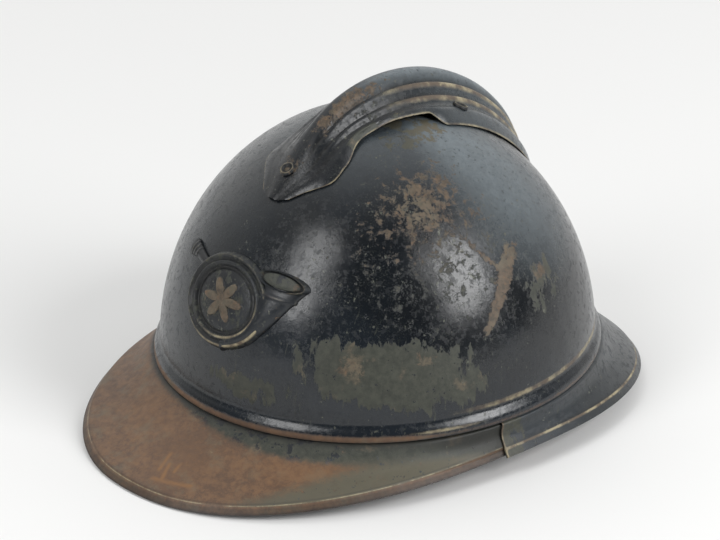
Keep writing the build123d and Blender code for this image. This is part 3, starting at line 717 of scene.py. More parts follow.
# Bloom and painted sheen: lighter high on the wearer's left, towards the crown and at the wearer's right.
bloom_and_sheen_mark = strongest(
    worn_oval(0.80, 22, 58, 26, 24, 0, 2) + 0.34 * eased(rise_of, 50, 80),
    0.14 * hump(from_right, 0, 60) + 0.02)
rubbed_mark = strongest(
    0.54 * hump(height_of, 9.5, 1.8) * eased(from_front, 44, 82),
    0.5 * hump(height_of, 3.4, 1.1) * hump(turn_of, -26, 14))
bead_front = 0.95 * hump(height_of, 1.7, 1.5) * (1 - eased(from_front, 48, 66))

# Each mark comes with its plain value for the inside of the sheet
# The grime at the foot is painted shade in the crease under the bead's lip, where the bowl meets the brim.
bowl_wear_and_painted_light = {
    "undercoat": (undercoat_mark, 0.0), "bare": (bare_mark, 0.3), "bloom_and_sheen": (bloom_and_sheen_mark, 0.0),
    "speckle": (0.60 * hump(turn_of, -22, 55) * hump(rise_of, 42, 32) + 0.40, 0.3),
    "rubbed": (rubbed_mark, 0.0), "patina": (bead_front + 0.45 * hump(height_of, 1.2, 1.0), 0.2),
    "grime_and_shade": (0.8 * hump(height_of, 0.1, 0.6), 0.2)}
bowl_marks = {name: both_faces(values, turn_of.shape, plain=plain)
              for name, (values, plain) in bowl_wear_and_painted_light.items()}
print("bowl worn to the undercoat on", round(float((undercoat_mark > 0.5).mean()) * 100, 1), "% of its grid")

# %% The bowl itself
bowl_grid = np.concatenate([outside, inside[::-1]])
bowl_shape = grid_mesh("bowl_pressing", stood(bowl_grid), ring=True, marks=bowl_marks)
dress(bowl_shape, "helmet", "enamelled_steel", enamel, "bowl")

# %% [markdown]
# ## The visor and the neck guard
#
# The brim is two pressings that lap at the sides. Each has a section that stands up inside the
# bowl's bead, turns out at a crease, runs down in a faint bow and ends in a hem, where the sheet is
# folded back under itself. The section is a short polyline with rounded corners whose key points
# follow the direction round the bowl. The visor lies under the neck guard where they lap, and comes
# up to the same level towards the front.

# %% The brim's outline


def half_length(behind):
    """Length of the half super-ellipse that a point lies in: the rear half is behind the widest place."""
    return np.where(behind > 0, rear_reach - rim_widest_back, front_reach + rim_widest_back)


def rim_reach(turn):
    """Distance from the bowl's axis to the edge, found by halving: the two half super-ellipses' border."""
    near, far = np.full_like(turn, bowl_half_width / 2), np.full_like(turn, front_reach + rear_reach)
    for _ in range(40):
        middle = (near + far) / 2
        behind = middle * np.sin(turn) - rim_widest_back
        size = np.abs(middle * np.cos(turn) / rim_half_width) ** rim_power
        size = size + np.abs(behind / half_length(behind)) ** rim_power
        near, far = np.where(size < 1, middle, near), np.where(size < 1, far, middle)
    return near


def rim_height(turn):
    """Height of the edge: side_rise at the widest place, down to nought at both ends as a parabola."""
    behind = rim_reach(turn) * np.sin(turn) - rim_widest_back
    return np.maximum(0, (side_rise + rest_flat) * (1 - (behind / half_length(behind)) ** 2) - rest_flat)


side_reach = rim_reach(np.array([0.0]))[0]
print("brim", round(2 * float(side_reach), 1), "mm across at the bowl's middle")

# %% The brim's section


def oval_reach(turn, half_x, half_y):
    """Distance from an ellipse's middle to its edge: 1 / hypot(cos turn / half_x, sin turn / half_y)."""
    return 1 / np.hypot(np.cos(turn) / half_x, np.sin(turn) / half_y)


def unit(vectors):
    """Vectors brought to length one."""
    return vectors / np.linalg.norm(vectors, axis=-1, keepdims=True)


hem_slope = unit(np.array([hem_width, -hem_fall]))


def moved_down(points, distances):
    """Key points moved square to the run, to its lower side, each by its own distance."""
    runs = unit(np.diff(points, axis=0))
    into = np.concatenate([runs[:1], runs])
    out_of = np.concatenate([runs, runs[-1:]])
    along = unit(into + out_of)
    widen = distances / (along * into).sum(-1)
    return points + np.stack([along[..., 1], -along[..., 0]], -1) * widen[..., None]


def brim_keys(turn, lap):
    """Key points of the sheet's upper face and of its under face, shape (7, turns, 2): reach and height."""
    upstand = oval_reach(turn, bowl_half_width + upstand_reach, bowl_half_length + upstand_reach)
    crease = oval_reach(turn, bowl_half_width + crease_reach, bowl_half_length + crease_reach)
    foot = foot_height + upstand * np.sin(turn) * math.sin(foot_tilt)
    edge = np.stack([rim_reach(turn), rim_height(turn) + hem_sheet * hem_slope[0]], -1)
    hem = edge - np.array([hem_width, -hem_fall])
    start = np.stack([crease, foot - crease_drop], -1)
    chord = hem - start
    middle = (start + hem) / 2 + unit(np.stack([chord[:, 1], -chord[:, 0]], -1)) * brim_bow
    end = edge - hem_slope * hem_sheet * lap[:, None]
    top = np.stack([np.stack([upstand, foot + upstand_height], -1), np.stack([upstand, foot], -1), start,
                    middle, hem, hem + hem_slope * hem_step, end])
    sheets = np.array([steel] * 5 + [hem_sheet] * 2)[:, None]
    low = lap[None] * (sheets + lap_gap)
    return moved_down(top, low), moved_down(top, low + sheets)


# %% The brim as a sheet
brim_step = 1.3
sheet_radii = [0, 1.0, 1.8, 22, 1.4, 0.6, 0.4, 0.35]


def finer(run, longest):
    """Split the steps of a run of shape (count, lines, 2) evenly, alike on its two mirrored halves."""
    lengths = np.linalg.norm(np.diff(run, axis=0), axis=-1).max(1)
    counts = np.maximum(1, np.ceil(np.maximum(lengths, lengths[::-1]) / longest)).astype(int)
    parts = [near + (far - near) * np.arange(count)[:, None, None] / count
             for near, far, count in zip(run[:-1], run[1:], counts)]
    return np.concatenate(parts + [run[-1:]])


def brim_sheet(turn, lap):
    """Grid of the brim: rows over the turns, columns up one face and back along the other."""
    over, under = brim_keys(turn, lap)
    tips = [over[-1:] + hem_slope * hem_tip, under[-1:] + hem_slope * hem_tip]
    keys = np.concatenate([over, *tips, under[::-1]])
    run = finer(rounded(keys, sheet_radii + sheet_radii[::-1], 6), brim_step)
    reach, height = run[..., 0].T, run[..., 1].T
    cos, sin = np.cos(turn)[:, None], np.sin(turn)[:, None]
    return np.stack([reach * cos, bowl_y + reach * sin, height], -1)


# %% [markdown]
# ## The brim's wear
#
# On the visor the enamel has gone, and bare steel has turned a warm brown, which gives way to the
# undercoat along the crease and towards the sides. A few scratches cross it. The hem's step has
# rubbed to a pale line. Painted shade darkens the crease under the bead and the groove inside the
# hem's step, and the hem's turned-down lip is darker. The neck guard has kept its black, with
# painted shade in the groove above its hem.

# %% Places on the brim
hem_line = 4.9


def edge_distance(points):
    """Distance along each row from the outermost point, for marks that follow the hem, in millimetres."""
    half = points.shape[1] // 2
    steps = np.linalg.norm(np.diff(points, axis=1), axis=-1)
    run = np.concatenate([np.zeros((len(points), 1)), np.cumsum(steps, 1)], 1)
    return np.abs(run - run[:, half:half + 1])


def upper_face(points):
    """One on a brim sheet's upper face, which is the first half of its columns, and nought below."""
    columns = points.shape[1]
    return np.arange(columns)[None] < columns // 2


# %% The visor's grid
visor_rows = 561
visor_half = 90 - seam_angle + lap_angle
lap_turns = [seam_angle, seam_angle + 7.75, seam_angle + 17, seam_angle + 28, seam_angle + 40.3, 90]
lap_shares = [1, 0.8, 0.45, 0.1, 0, 0]
visor_turn = np.radians(np.linspace(-90 - visor_half, -90 + visor_half, visor_rows))
from_side = 90 - np.abs(np.degrees(visor_turn) + 90)
visor_grid = brim_sheet(visor_turn, np.interp(from_side, lap_turns, lap_shares))
visor_edge, visor_top = edge_distance(visor_grid), upper_face(visor_grid)
degrees = np.degrees(visor_turn)[:, None]
crease_at = oval_reach(visor_turn, bowl_half_width + crease_reach, bowl_half_length + crease_reach)[:, None]
crease_distance = np.linalg.norm(visor_grid[..., :2] - [0, bowl_y], axis=-1) - crease_at
width_share = crease_distance / (rim_reach(visor_turn)[:, None] - crease_at)
print("visor grid", visor_grid.shape[:2])

# %% Scratches
scrape_turn, scrape_width = 2.6, 45.0
scrape_lines = [(-88.8, 0.50, -87.6, 0.70), (-86.9, 0.60, -85.4, 0.78), (-85.0, 0.56, -84.6, 0.66),
                (-87.0, 0.82, -79.5, 0.76)]


def scrape(turn_from, share_from, turn_to, share_to, width):
    """A scratch on the visor: one on a straight line in turn and width share, falling off beside it.
    The nearest place on the line is t = (x run + y rise) / (run^2 + rise^2), kept from nought to one."""
    run, rise = (turn_to - turn_from) * scrape_turn, (share_to - share_from) * scrape_width
    x, y = (degrees - turn_from) * scrape_turn, (width_share - share_from) * scrape_width
    t = np.clip((x * run + y * rise) / (run * run + rise * rise), 0, 1)
    return hump(np.hypot(x - t * run, y - t * rise), 0, width)


# %% The visor's marks
brown_from = 0.02 + 0.26 * eased(degrees, -108, -48)
brown_to = 1.3 - 1.05 * eased(degrees, -88, -40)
patina_mark = eased(width_share, brown_from - 0.10, brown_from + 0.10) * (
    1 - eased(width_share, brown_to - 0.32, brown_to + 0.32)) * (1 - eased(degrees, -52, -22))
warm_mark = (0.45 * hump(degrees, -56, 18) * hump(width_share, brown_from + 0.16, 0.20)
             + 0.30 * hump(degrees, -84, 6) * hump(width_share, 0.62, 0.25)
             + 0.25 * hump(degrees, -102, 14) * hump(width_share, 0.3, 0.3))
warm_mark = strongest(warm_mark, *(1.2 * scrape(*line, 1.1) for line in scrape_lines))
visor_undercoat = 0.56 + 0.4 * eased(degrees, -60, -40) + 0.3 * eased(width_share, 0.25, 0.5)
visor_rubbed = 0.50 * hump(visor_edge, hem_line, 0.42) + 0.35 * scrape(-95, 0.45, -79, 0.30, 0.35)
# Painted shade in the crease under the bead and in the groove inside the hem's step; the hem's turned-down
# lip is darker, and darkest at its fold.
visor_grime_and_shade = (0.9 * hump(crease_distance, -1.0, 2.2) + 0.55 * (visor_edge < hem_line - 1.2)
               + 0.4 * (visor_edge < 1.6) + 0.35 * hump(visor_edge, hem_line + 0.9, 0.5))
visor_marks = {
    "undercoat": np.where(visor_top, visor_undercoat, 0.3),
    "patina": np.where(visor_top, np.maximum(patina_mark, 0.8 * (visor_edge < hem_line - 0.3)), 0.35),
    "rubbed": visor_rubbed * visor_top, "grime_and_shade": visor_grime_and_shade * visor_top, "warm": warm_mark * visor_top,
    "bloom_and_sheen": 0.95 * eased(width_share, 0.12, 0.45) * eased(degrees, -95, -60) * visor_top,
    "speckle": 0.6, "bare": 0.22, "matt": 0.8}
print("scratches on the visor:", len(scrape_lines))

# %% The visor itself
visor_shape = grid_mesh("visor_pressing", visor_grid, caps=True, marks=visor_marks)
dress(visor_shape, "helmet", "enamelled_steel", enamel, "front_visor")

# %% The neck guard
guard_rows = 481
guard_turn = np.radians(np.linspace(-seam_angle, 180 + seam_angle, guard_rows))
guard_grid = brim_sheet(guard_turn, np.zeros_like(guard_turn))
guard_edge, guard_top = edge_distance(guard_grid), upper_face(guard_grid)
guard_degrees = np.degrees(guard_turn)[:, None]
near_seam = strongest(hump(guard_degrees, -seam_angle, 9), hump(guard_degrees, 180 + seam_angle, 9))
guard_rubbed = 0.80 * hump(guard_edge, hem_line, 0.6) + 0.8 * hump(guard_degrees, -seam_angle, 0.45)
# The grime above the hem is painted shade in the groove beside its step.
guard_marks = {
    "undercoat": np.where(guard_top, 0.72 * near_seam, 0.2), "rubbed": guard_rubbed * guard_top,
    "grime_and_shade": 0.5 * hump(guard_edge, hem_line + 1.0, 0.6) * guard_top, "bloom_and_sheen": 0.12 * guard_top,
    "bare": np.where(guard_top, 0.14, 0.45), "speckle": 0.65, "matt": 0.4}
guard_shape = grid_mesh("neck_guard_pressing", guard_grid, caps=True, marks=guard_marks)
dress(guard_shape, "helmet", "enamelled_steel", enamel, "neck_guard")

# %% [markdown]
# ## The crest
#
# The crest is a stamped comb that covers the vent slot. Its ridge rises from a flat nose at the
# front and runs down to a tail behind, and two ribs follow the ridge on either flank and fade out
# towards the nose. The rise along it, its width and the section across it are short tables, made
# smooth by the cubic. On the wearer's left the flange has been knocked: it is bent up off the bowl
# and pushed in, which leaves a strip of undercoat that it used to cover.

# %% The crest's tables and surface
crest_start, crest_end = 52.4, 155.0
crest_ridge, crest_half_width, crest_sheet, crest_gap = 16.6, 27.0, 0.7, 0.3
crest_places = [0, 0.045, 0.100, 0.155, 0.235, 0.330, 0.440, 0.580, 0.710, 0.820, 0.910, 0.965, 1]
crest_heights = [0.06, 0.12, 0.26, 0.48, 0.78, 0.94, 1.00, 1.00, 0.93, 0.78, 0.50, 0.26, 0.08]
crest_widths = [0.21, 0.48, 0.79, 0.77, 0.72, 0.84, 0.95, 1.00, 1.00, 0.93, 0.72, 0.46, 0.20]
across_places = [0, 0.11, 0.20, 0.27, 0.33, 0.40, 0.46, 0.52, 0.58, 0.65, 0.81, 0.90, 1]
across_heights = [1.00, 0.98, 0.88, 0.70, 0.73, 0.55, 0.43, 0.46, 0.32, 0.28, 0.27, 0.16, 0]
nose_heights = [1.00, 0.97, 0.90, 0.81, 0.73, 0.63, 0.55, 0.49, 0.43, 0.36, 0.25, 0.15, 0]
knock_in, knock_up, nose_round_share = 5.0, 3.6, 0.016


def crown_frame(angle):
    """Point on the bowl's centre line, degrees up and over from the front foot, and its outward direction."""
    rise = np.radians(angle)
    y, z = -bowl_half_length * np.cos(rise), bowl_height * np.sin(rise)
    out = unit(np.stack([0 * y, y / bowl_half_length ** 2, z / bowl_height ** 2], -1))
    return np.stack([0 * y, y, z], -1), out


def crest_points(along, across):
    """Under face of the crest: x = half width w(along) across, height = ridge h(along) p(across) less
    the bowl's own fall beside its centre line, set off along the bowl's outward direction."""
    along, across = np.broadcast_arrays(along, across)
    point, out = crown_frame(crest_start + (crest_end - crest_start) * along)
    left = across > 0
    shove = left * eased(along, 0.15, 0.27) * (1 - eased(along, 0.445, 0.490)) * eased(across, 0.62, 1)
    bend = left * (0.35 * eased(along, 0.17, 0.22) + 0.65 * eased(along, 0.25, 0.34)) * (
        1 - eased(along, 0.440, 0.485)) * eased(across, 0.74, 1)
    x = crest_half_width * through(along, crest_places, crest_widths) * across - knock_in * shove
    steep = np.hypot(point[..., 1] / bowl_half_length ** 2, point[..., 2] / bowl_height ** 2)
    radius = bowl_half_width ** 2 * steep
    fall = radius - np.sqrt(radius ** 2 - x ** 2)
    section = through(np.abs(across), across_places, across_heights)
    at_nose = through(np.abs(across), across_places, nose_heights)
    section = section + (at_nose - section) * (1 - eased(along, 0.12, 0.26))
    ridge = crest_ridge * through(along, crest_places, crest_heights)
    height = crest_gap - fall + knock_up * bend + ridge * section
    return point + np.stack([x, 0 * x, 0 * x], -1) + out * height[..., None]


# %% The crest's sheet
end_share, edge_share, normal_share = 0.998, 0.999, 0.995


def crest_out(along, across):
    """Outward direction of the crest's sheet: the cross product of two short steps, across and along."""
    step = 1e-3
    run = crest_points(along + step, across) - crest_points(along - step, across)
    side = crest_points(along, across + step) - crest_points(along, across - step)
    return unit(np.cross(side, run))


along = np.linspace(0, 1, 221)[:, None]
across = np.linspace(-1, 1, 161)[None]
nose = nose_round_share * (1 - along) ** 12 * np.abs(across) ** 2.5
along_rounded = np.clip(along + nose, 1 - end_share, end_share)
under_face = crest_points(along_rounded, across * edge_share)
crest_normal = crest_out(along_rounded, across * normal_share)
crest_grid = np.concatenate([under_face + crest_sheet * crest_normal, under_face[:, ::-1]], 1)
print("crest grid", crest_grid.shape[:2])

# %% The crest and its wear
flank = np.abs(across)
rib = (hump(flank, 0.335, 0.045) + hump(flank, 0.525, 0.045)) * eased(along, 0.16, 0.30)
lip = hump(flank, 1.0, 0.035)
knocked = (across > 0) * eased(along, 0.17, 0.22) * (1 - eased(along, 0.27, 0.31))
# Grime here is painted shade in the grooves beside the ribs and in the valley above the flange; bloom is
# partly a painted sheen along the ridge and towards the tail.
crest_wear_and_painted_light = {
    "rubbed": 0.62 * rib * (0.25 + 0.75 * eased(along, 0.24, 0.5)) + 0.5 * lip,
    "grime_and_shade": (0.85 * (hump(flank, 0.265, 0.03) + hump(flank, 0.455, 0.03))
              + 0.5 * hump(flank, 0.63, 0.06)),
    "bare": (0.60 * hump(along, 0.27, 0.11) * hump(across, 0.13, 0.20) + 0.7 * hump(along, 0, 0.03) * lip
             + 0.42 * hump(along, 0.076, 0.035) * hump(across, 0, 0.3) + 0.10),
    "undercoat": (0.8 * knocked * eased(flank, 0.74, 0.80)
                  + 0.45 * hump(along, 0.36, 0.1) * eased(across, 0.55, 0.75)),
    "speckle": 0.55 + 0.4 * hump(along, 0.3, 0.15) * (across > -0.1),
    "matt": 0.05 + 0.55 * hump(along, 0.26, 0.14),
    "bloom_and_sheen": 1.0 * hump(across, 0.04, 0.15) * eased(along, 0.22, 0.42) + 0.35 * eased(along, 0.3, 0.6)}
crest_marks = {name: both_faces(values, under_face.shape[:2], axis=1)
               for name, values in crest_wear_and_painted_light.items()}
crest_shape = grid_mesh("crest_comb", stood(crest_grid), caps=True, marks=crest_marks)
dress(crest_shape, "helmet", "enamelled_steel", enamel, "crest")

# %% [markdown]
# ## Rivets
#
# Four rivets hold the crest. Each is a tube rivet: its head is a rolled ring with a hollow in the
# middle, and inside the bowl it ends in a flat clench. A rivet is a short profile turned about its
# axis, which stands square to the crest's sheet, and leans out a little at the two sides.

# %% Turned pieces


def turned(profile, steps=40):
    """Grid of a profile of (radius, height) pairs carried round an axis: x = r cos, y = r sin, z = h."""
    angle = np.linspace(0, 2 * np.pi, steps, endpoint=False)
    radius, height = np.asarray(profile, float).T[:, :, None]
    return np.stack([radius * np.cos(angle), radius * np.sin(angle), height + 0 * angle], -1)


def set_up(points, origin, out):
    """Carry points drawn about Z to an origin, with Z along the outward direction."""
    side = unit(np.cross([0, 1, 0], out))
    return origin + points[..., :1] * side + points[..., 1:2] * np.cross(out, side) + points[..., 2:] * out


# %% The crest's rivets
rivet_play, shank_radius, side_lean = 0.05, 1.5, 0.25
clench_top, clench_under, clench_thick, clench_middle = 2.7, 2.5, 0.9, 1.0
ring_head = [(0, 0.55), (1.2, 0.5), (1.7, 0.35), (2.1, 0.55), (2.5, 1.15), (2.95, 1.45), (3.4, 1.35),
             (3.75, 0.9), (3.9, 0.35), (3.8, rivet_play), (shank_radius, rivet_play)]
rivet_angles = {"front": (60.2, 0), "rear": (149.5, 0), "left": (110.0, 0.70), "right": (110.0, -0.70)}

for name, (rivet_angle, rivet_across) in rivet_angles.items():
    rivet_along = (rivet_angle - crest_start) / (crest_end - crest_start)
    seat = crest_points(np.array([rivet_along]), np.array([rivet_across]))[0]
    point, out = crown_frame(np.array([rivet_angle]))
    out = unit(out[0] + np.array([rivet_across * side_lean, 0, 0]))
    within = -(float((seat - point[0]) @ out) + crest_sheet) - steel
    clench = [(shank_radius, within), (clench_top, within), (clench_under, within - clench_thick),
              (0, within - clench_middle)]
    rivet_grid = set_up(turned(ring_head + clench), seat + out * crest_sheet, out)
    radius_of = np.array([radius for radius, _ in ring_head + clench])[:, None]
    # The grime ring is painted shade in the hollow of the rivet's head.
    rivet_marks = {"rubbed": 0.45 * hump(radius_of, 3.0, 0.6), "grime_and_shade": 0.8 * hump(radius_of, 1.8, 0.5),
                   "bare": 0.5 * hump(radius_of, 0, 1.2) + 0.36, "speckle": 0.6, "matt": 0.8}
    rivet = grid_mesh("crest_rivet_head_" + name, stood(rivet_grid), marks=rivet_marks, crease=40)
    dress(rivet, "helmet", "enamelled_steel", enamel, "crest_rivet_" + name)

# %% [markdown]
# ## The badge
#
# The badge is stamped sheet that lies on the bowl: a hunting horn coiled into a ring. The ring is a
# double bead round a disc, the bell swells out of its lower side and opens in an oval mouth at the
# wearer's left, and the mouthpiece runs off to the right. Every part is drawn flat and then carried
# along the badge's axis on to the bowl, which is the meeting of a line with an ellipsoid that is
# larger than the bowl by the part's relief. The disc carries a plain six-petal rosette with a boss.

# %% Badge: places on the bowl
badge_angle, badge_gap, tube_skirt = 26.8, 0.3, 0.3
disc_share = np.linspace(0, 1, 121)[:, None]
disc_angle = np.linspace(0, 2 * np.pi, 180, endpoint=False)[None]


def on_bowl(across, up_way, lift):
    """Point over the bowl at a lift: the line along the badge's axis meets the larger ellipsoid, where
    a t^2 + b t + c = 0 for the distance t along it."""
    across, up_way, lift = np.broadcast_arrays(across, up_way, lift)
    point, out = (value[0] for value in crown_frame(np.array([badge_angle])))
    start = point + across[..., None] * np.array([1, 0, 0]) + up_way[..., None] * np.cross(out, [1, 0, 0])
    size = np.stack([bowl_half_width + lift, bowl_half_length + lift, bowl_height + lift], -1)
    a = ((out / size) ** 2).sum(-1)
    b = 2 * (start * out / size ** 2).sum(-1)
    c = ((start / size) ** 2).sum(-1) - 1
    far = (-b + np.sqrt(b * b - 4 * a * c)) / (2 * a)
    return stood(start + far[..., None] * out)


def badge_piece(name, across, up_way, relief, wear_and_shade, axis, caps=False):
    """Join a relief to a plain back that lies badge_gap over the bowl, along rows (0) or columns (1)."""
    under = np.flip(on_bowl(across, up_way, badge_gap), axis)
    grid = np.concatenate([on_bowl(across, up_way, relief), under], axis)
    marks = {key: both_faces(value, under.shape[:2], axis=axis) for key, value in wear_and_shade.items()}
    return dress(grid_mesh(name, grid, caps=caps, marks=marks), "helmet", "enamelled_steel", enamel, "badge")


def relief_disc(name, centre, half_across, half_up, relief, wear_and_shade):
    """Oval plate whose relief follows the share of its radius: rows go out on top and back below."""
    across = centre[0] + half_across * disc_share * np.cos(disc_angle)
    up_way = centre[1] + half_up * disc_share * np.sin(disc_angle)
    return badge_piece(name, across, up_way, relief, wear_and_shade, 0)


# %% The badge's ring and rosette
ring_radius, ring_across_share, ring_up_share = 23.0, 1.15, 0.965
ring_places = np.array([0, 7, 13.2, 14.3, 15.0, 15.9, 16.6, 17.6, 18.7, 19.4, 20.0, 21.3, 22.3, 23])
ring_heights = [2.5, 2.4, 2.1, 1.8, 1.3, 1.3, 2.2, 3.1, 2.8, 2.0, 2.3, 3.2, 2.5, 0.9]
petal_count, petal_length, petal_width, petal_relief = 6, 11.5, 5.0, 0.9


def rosette():
    """Share of the rosette's relief: each petal is an oval from the centre outwards, six times round."""
    sector = 2 * np.pi / petal_count
    turn = np.mod(disc_angle + sector / 2, sector) - sector / 2
    along_petal, across_petal = (disc_share * ring_radius * value for value in (np.cos(turn), np.sin(turn)))
    inside = 1 - ((along_petal - petal_length / 2) / (petal_length / 2)) ** 2
    inside = inside - (across_petal / (petal_width / 2)) ** 2
    boss = 1 - eased(disc_share * ring_radius, 1.7, 2.3)
    return np.maximum(eased(inside, 0, 0.45), boss)


petals = rosette()
lower_right = 0.35 + 0.65 * np.clip(np.cos(disc_angle + 0.9), 0, 1)
ring_relief = through(disc_share, ring_places / ring_radius, ring_heights) + petal_relief * petals
# The grime rings are painted shade in the grooves inside and between the beads.
ring_wear_and_shade = {
    "bare": 0.15 + 0.66 * petals,
    "rubbed": (0.50 * hump(disc_share, 0.935, 0.04) + 0.55 * hump(disc_share, 0.765, 0.04)) * lower_right
    + 0.12 * hump(disc_share, 0.935, 0.04),
    "grime_and_shade": 0.9 * hump(disc_share, 0.67, 0.03) + 0.7 * hump(disc_share, 0.855, 0.02),
    "speckle": 1.0, "undercoat": 0.36, "matt": 0.8}
relief_disc("badge_ring", (0, 0), ring_radius * ring_across_share, ring_radius * ring_up_share,
            ring_relief, ring_wear_and_shade)

# %% The horn's mouth
mouth_across, mouth_up, mouth_length, mouth_width = 27.5, 17.8, 25.0, 8.6
mouth_places = [0, 0.55, 0.74, 0.81, 0.88, 0.94, 0.98, 1]
mouth_heights = [3.4, 3.3, 2.9, 2.3, 2.9, 3.3, 3.0, 0.6]
# The grime ring is painted shade in the groove round the mouth's plateau.
mouth_wear_and_shade = {
    "undercoat": 0.62 * (1 - eased(disc_share, 0.70, 0.78)),
    "rubbed": 0.4 * hump(disc_share, 0.94, 0.05) * (0.4 + 0.6 * (np.cos(disc_angle) > 0.4)),
    "grime_and_shade": 0.95 * hump(disc_share, 0.81, 0.05), "speckle": 1.0, "bare": 0.26, "matt": 1.0}
relief_disc("badge_mouth", (mouth_across, mouth_up), mouth_length / 2, mouth_width / 2,
            through(disc_share, mouth_places, mouth_heights), mouth_wear_and_shade)

# %% The horn's tubes


def horn_tube(name, ways, across, up_way, half_widths, reliefs, headings, ring_ways, ring_half):
    """Half-round tube along a smooth path: offset w cos(phi) to the side, lift r sin(phi) over the
    sheet, both a little larger at the rings round it."""
    way = np.linspace(0, 1, 121)[:, None]
    phi = np.linspace(0, np.pi, 33)[None]
    rings = sum(hump(way, place, ring_half) for place in ring_ways)
    heading = np.radians(through(way, ways, headings))
    half = through(way, ways, half_widths) * (1 + 0.10 * rings)
    tall = through(way, ways, reliefs) * (1 + 0.16 * rings)
    side, rise = np.cos(phi), np.sin(phi)
    x = through(way, ways, across) + half * side * np.sin(heading)
    y = through(way, ways, up_way) - half * side * np.cos(heading)
    # The grime along the tube's foot is painted shade where it meets the sheet.
    wear_and_shade = {"rubbed": 0.36 * rings * rise, "grime_and_shade": 0.7 * (1 - eased(rise, 0, 0.35)),
            "speckle": 0.7, "bare": 0.22, "undercoat": 0.3 * rings + 0.1, "matt": 0.5}
    return badge_piece(name, x, y, badge_gap + tube_skirt + tall * rise, wear_and_shade, 1, caps=True)


horn_tube("badge_bell", [0, 0.3, 0.58, 0.82, 1], [5.1, 17.0, 23.0, 26.2, 27.5],
          [-20.0, -12.2, -3.0, 7.6, 16.8], [2.7, 3.1, 4.9, 8.0, 11.8], [2.7, 2.8, 3.0, 2.9, 1.5],
          [10, 54, 78, 90, 90], [0.87], 0.02)
horn_tube("badge_mouthpiece", [0, 0.5, 1], [-17.0, -27.6, -36.0], [11.0, 14.3, 16.0], [1.9, 2.5, 4.0],
          [1.8, 2.0, 2.0], [160, 165, 168], [0.55, 0.7, 0.85], 0.03)

# %% [markdown]
# ## Metal that isn't painted
#
# The lugs, clips, loops, tabs and the buckle are bare steel that has dulled, the spacers behind the
# liner are corrugated aluminium, and copper rivets pin the chinstrap. Their CAD shapes are already
# the real ones, so they only need a metal: its colour, a roughness that wanders, and rust in specks.

# %% A dull metal
metal_depth = 0.00006


def dull_metal(name, light, dark, spots, amount, roughness):
    """Metal mottled from light to dark, with spots where the noise passes amount that aren't metal."""
    material, tree = empty_material(name)
    where = node(tree, "ShaderNodeTexCoord").outputs["Object"]
    wander, fine = cloud(tree, where, 160, 5), cloud(tree, where, 700, 5, 0.7)
    rust = cut(tree, summed(tree, times(tree, wander, 0.5), (0.6, fine)), amount, amount + 0.08)
    colour = laid_over(tree, rust, patched(tree, light, dark, wander, 0.3, 0.7), spots)
    finish_material(tree, fine, metal_depth, {
        "Base Color": colour, "Metallic": maths(tree, "SUBTRACT", 1.0, rust),
        "Roughness": between(tree, fine, roughness - 0.1, roughness + 0.14)})
    return material


# %% Plain metals on the CAD's small pieces
dull_steel = dull_metal("dull_steel", shade(150, 146, 138), shade(96, 92, 86), rust_brown, 0.60, 0.42)
aluminium = dull_metal("aluminium", shade(196, 196, 194), shade(160, 160, 158), shade(120, 118, 112),
                       0.72, 0.36)
copper = dull_metal("copper", shade(178, 112, 78), shade(120, 76, 54), shade(72, 84, 66), 0.62, 0.38)
for name, piece in nodes.items():
    metal = dull_steel
    if name.startswith("spacer"):
        metal = aluminium
    if name.startswith("strap_rivet"):
        metal = copper
    for material_place in piece.material_slots:
        material_place.material = metal
print("metals set on", len(nodes), "CAD pieces; those with a new shape are hidden behind it")

# %% [markdown]
# ## Leather and felt
#
# Leather is a smooth brown skin with creases and a fine grain, rubbed dark where it is handled. Felt
# is the same noise stretched into fibres with no gloss at all. The sweatband is cut into seven
# tongues that lean in under the crown. Each tongue is drawn in the same angles as the bowl: its half
# width in degrees shrinks where the round-ended slits begin, and its edges curl a little. Its lace
# hole isn't cut: it is painted shade, a dark disc near the tongue's tip.

# %% Leather and felt as materials
# The handled dark is also painted shade, in the lace holes of the sweatband.
handled_and_shade_dark = shade(24, 17, 12)


def soft_material(name, light, dark, scale, depth, roughness, sheen, stretch=(1, 1, 1)):
    """Leather or felt: colour in broad patches and in its grain, darkened by the grime mark, partly painted
    shade.
    """
    material, tree = empty_material(name)
    where = stretched(tree, node(tree, "ShaderNodeTexCoord").outputs["Object"], stretch)
    broad, grain = cloud(tree, where, scale / 12, 4), cloud(tree, where, scale, 6, 0.7, 0.4)
    colour = patched(tree, light, dark, broad, 0.3, 0.7)
    colour = patched(tree, colour, dark, grain, 0.5, 0.72, 0.35)
    worn = laid_over(tree, times(tree, mark(tree, "grime_and_shade"), 0.8, clamp=True), colour, handled_and_shade_dark)
    finish_material(tree, summed(tree, grain, (2.5, broad)), depth, {
        "Base Color": worn, "Sheen Weight": sheen,
        "Roughness": between(tree, grain, roughness - 0.08, roughness + 0.1)})
    return material


liner_leather = soft_material("liner_leather", shade(96, 66, 42), shade(58, 38, 25), 900, 0.00012, 0.52, 0.0)
strap_leather = soft_material("strap_leather", shade(104, 66, 38), shade(60, 36, 22), 700, 0.00010, 0.44, 0.0)
felt = soft_material("liner_felt", shade(62, 64, 68), shade(40, 41, 45), 1500, 0.00025, 0.95, 0.25,
                     (1, 1, 0.4))
print("soft materials", liner_leather.name, strap_leather.name, felt.name)

# %% Places in the liner
liner_gap_room, liner_drop, leather_thick, felt_thick, leather_gap = 5.6, 18.0, 1.4, 1.9, 0.1
felt_inset = steel + liner_gap_room
leather_inset = felt_inset + felt_thick + leather_gap
band_low, band_top, felt_top, crown_hole = 3.2, 46.0, 42.0, 14.5


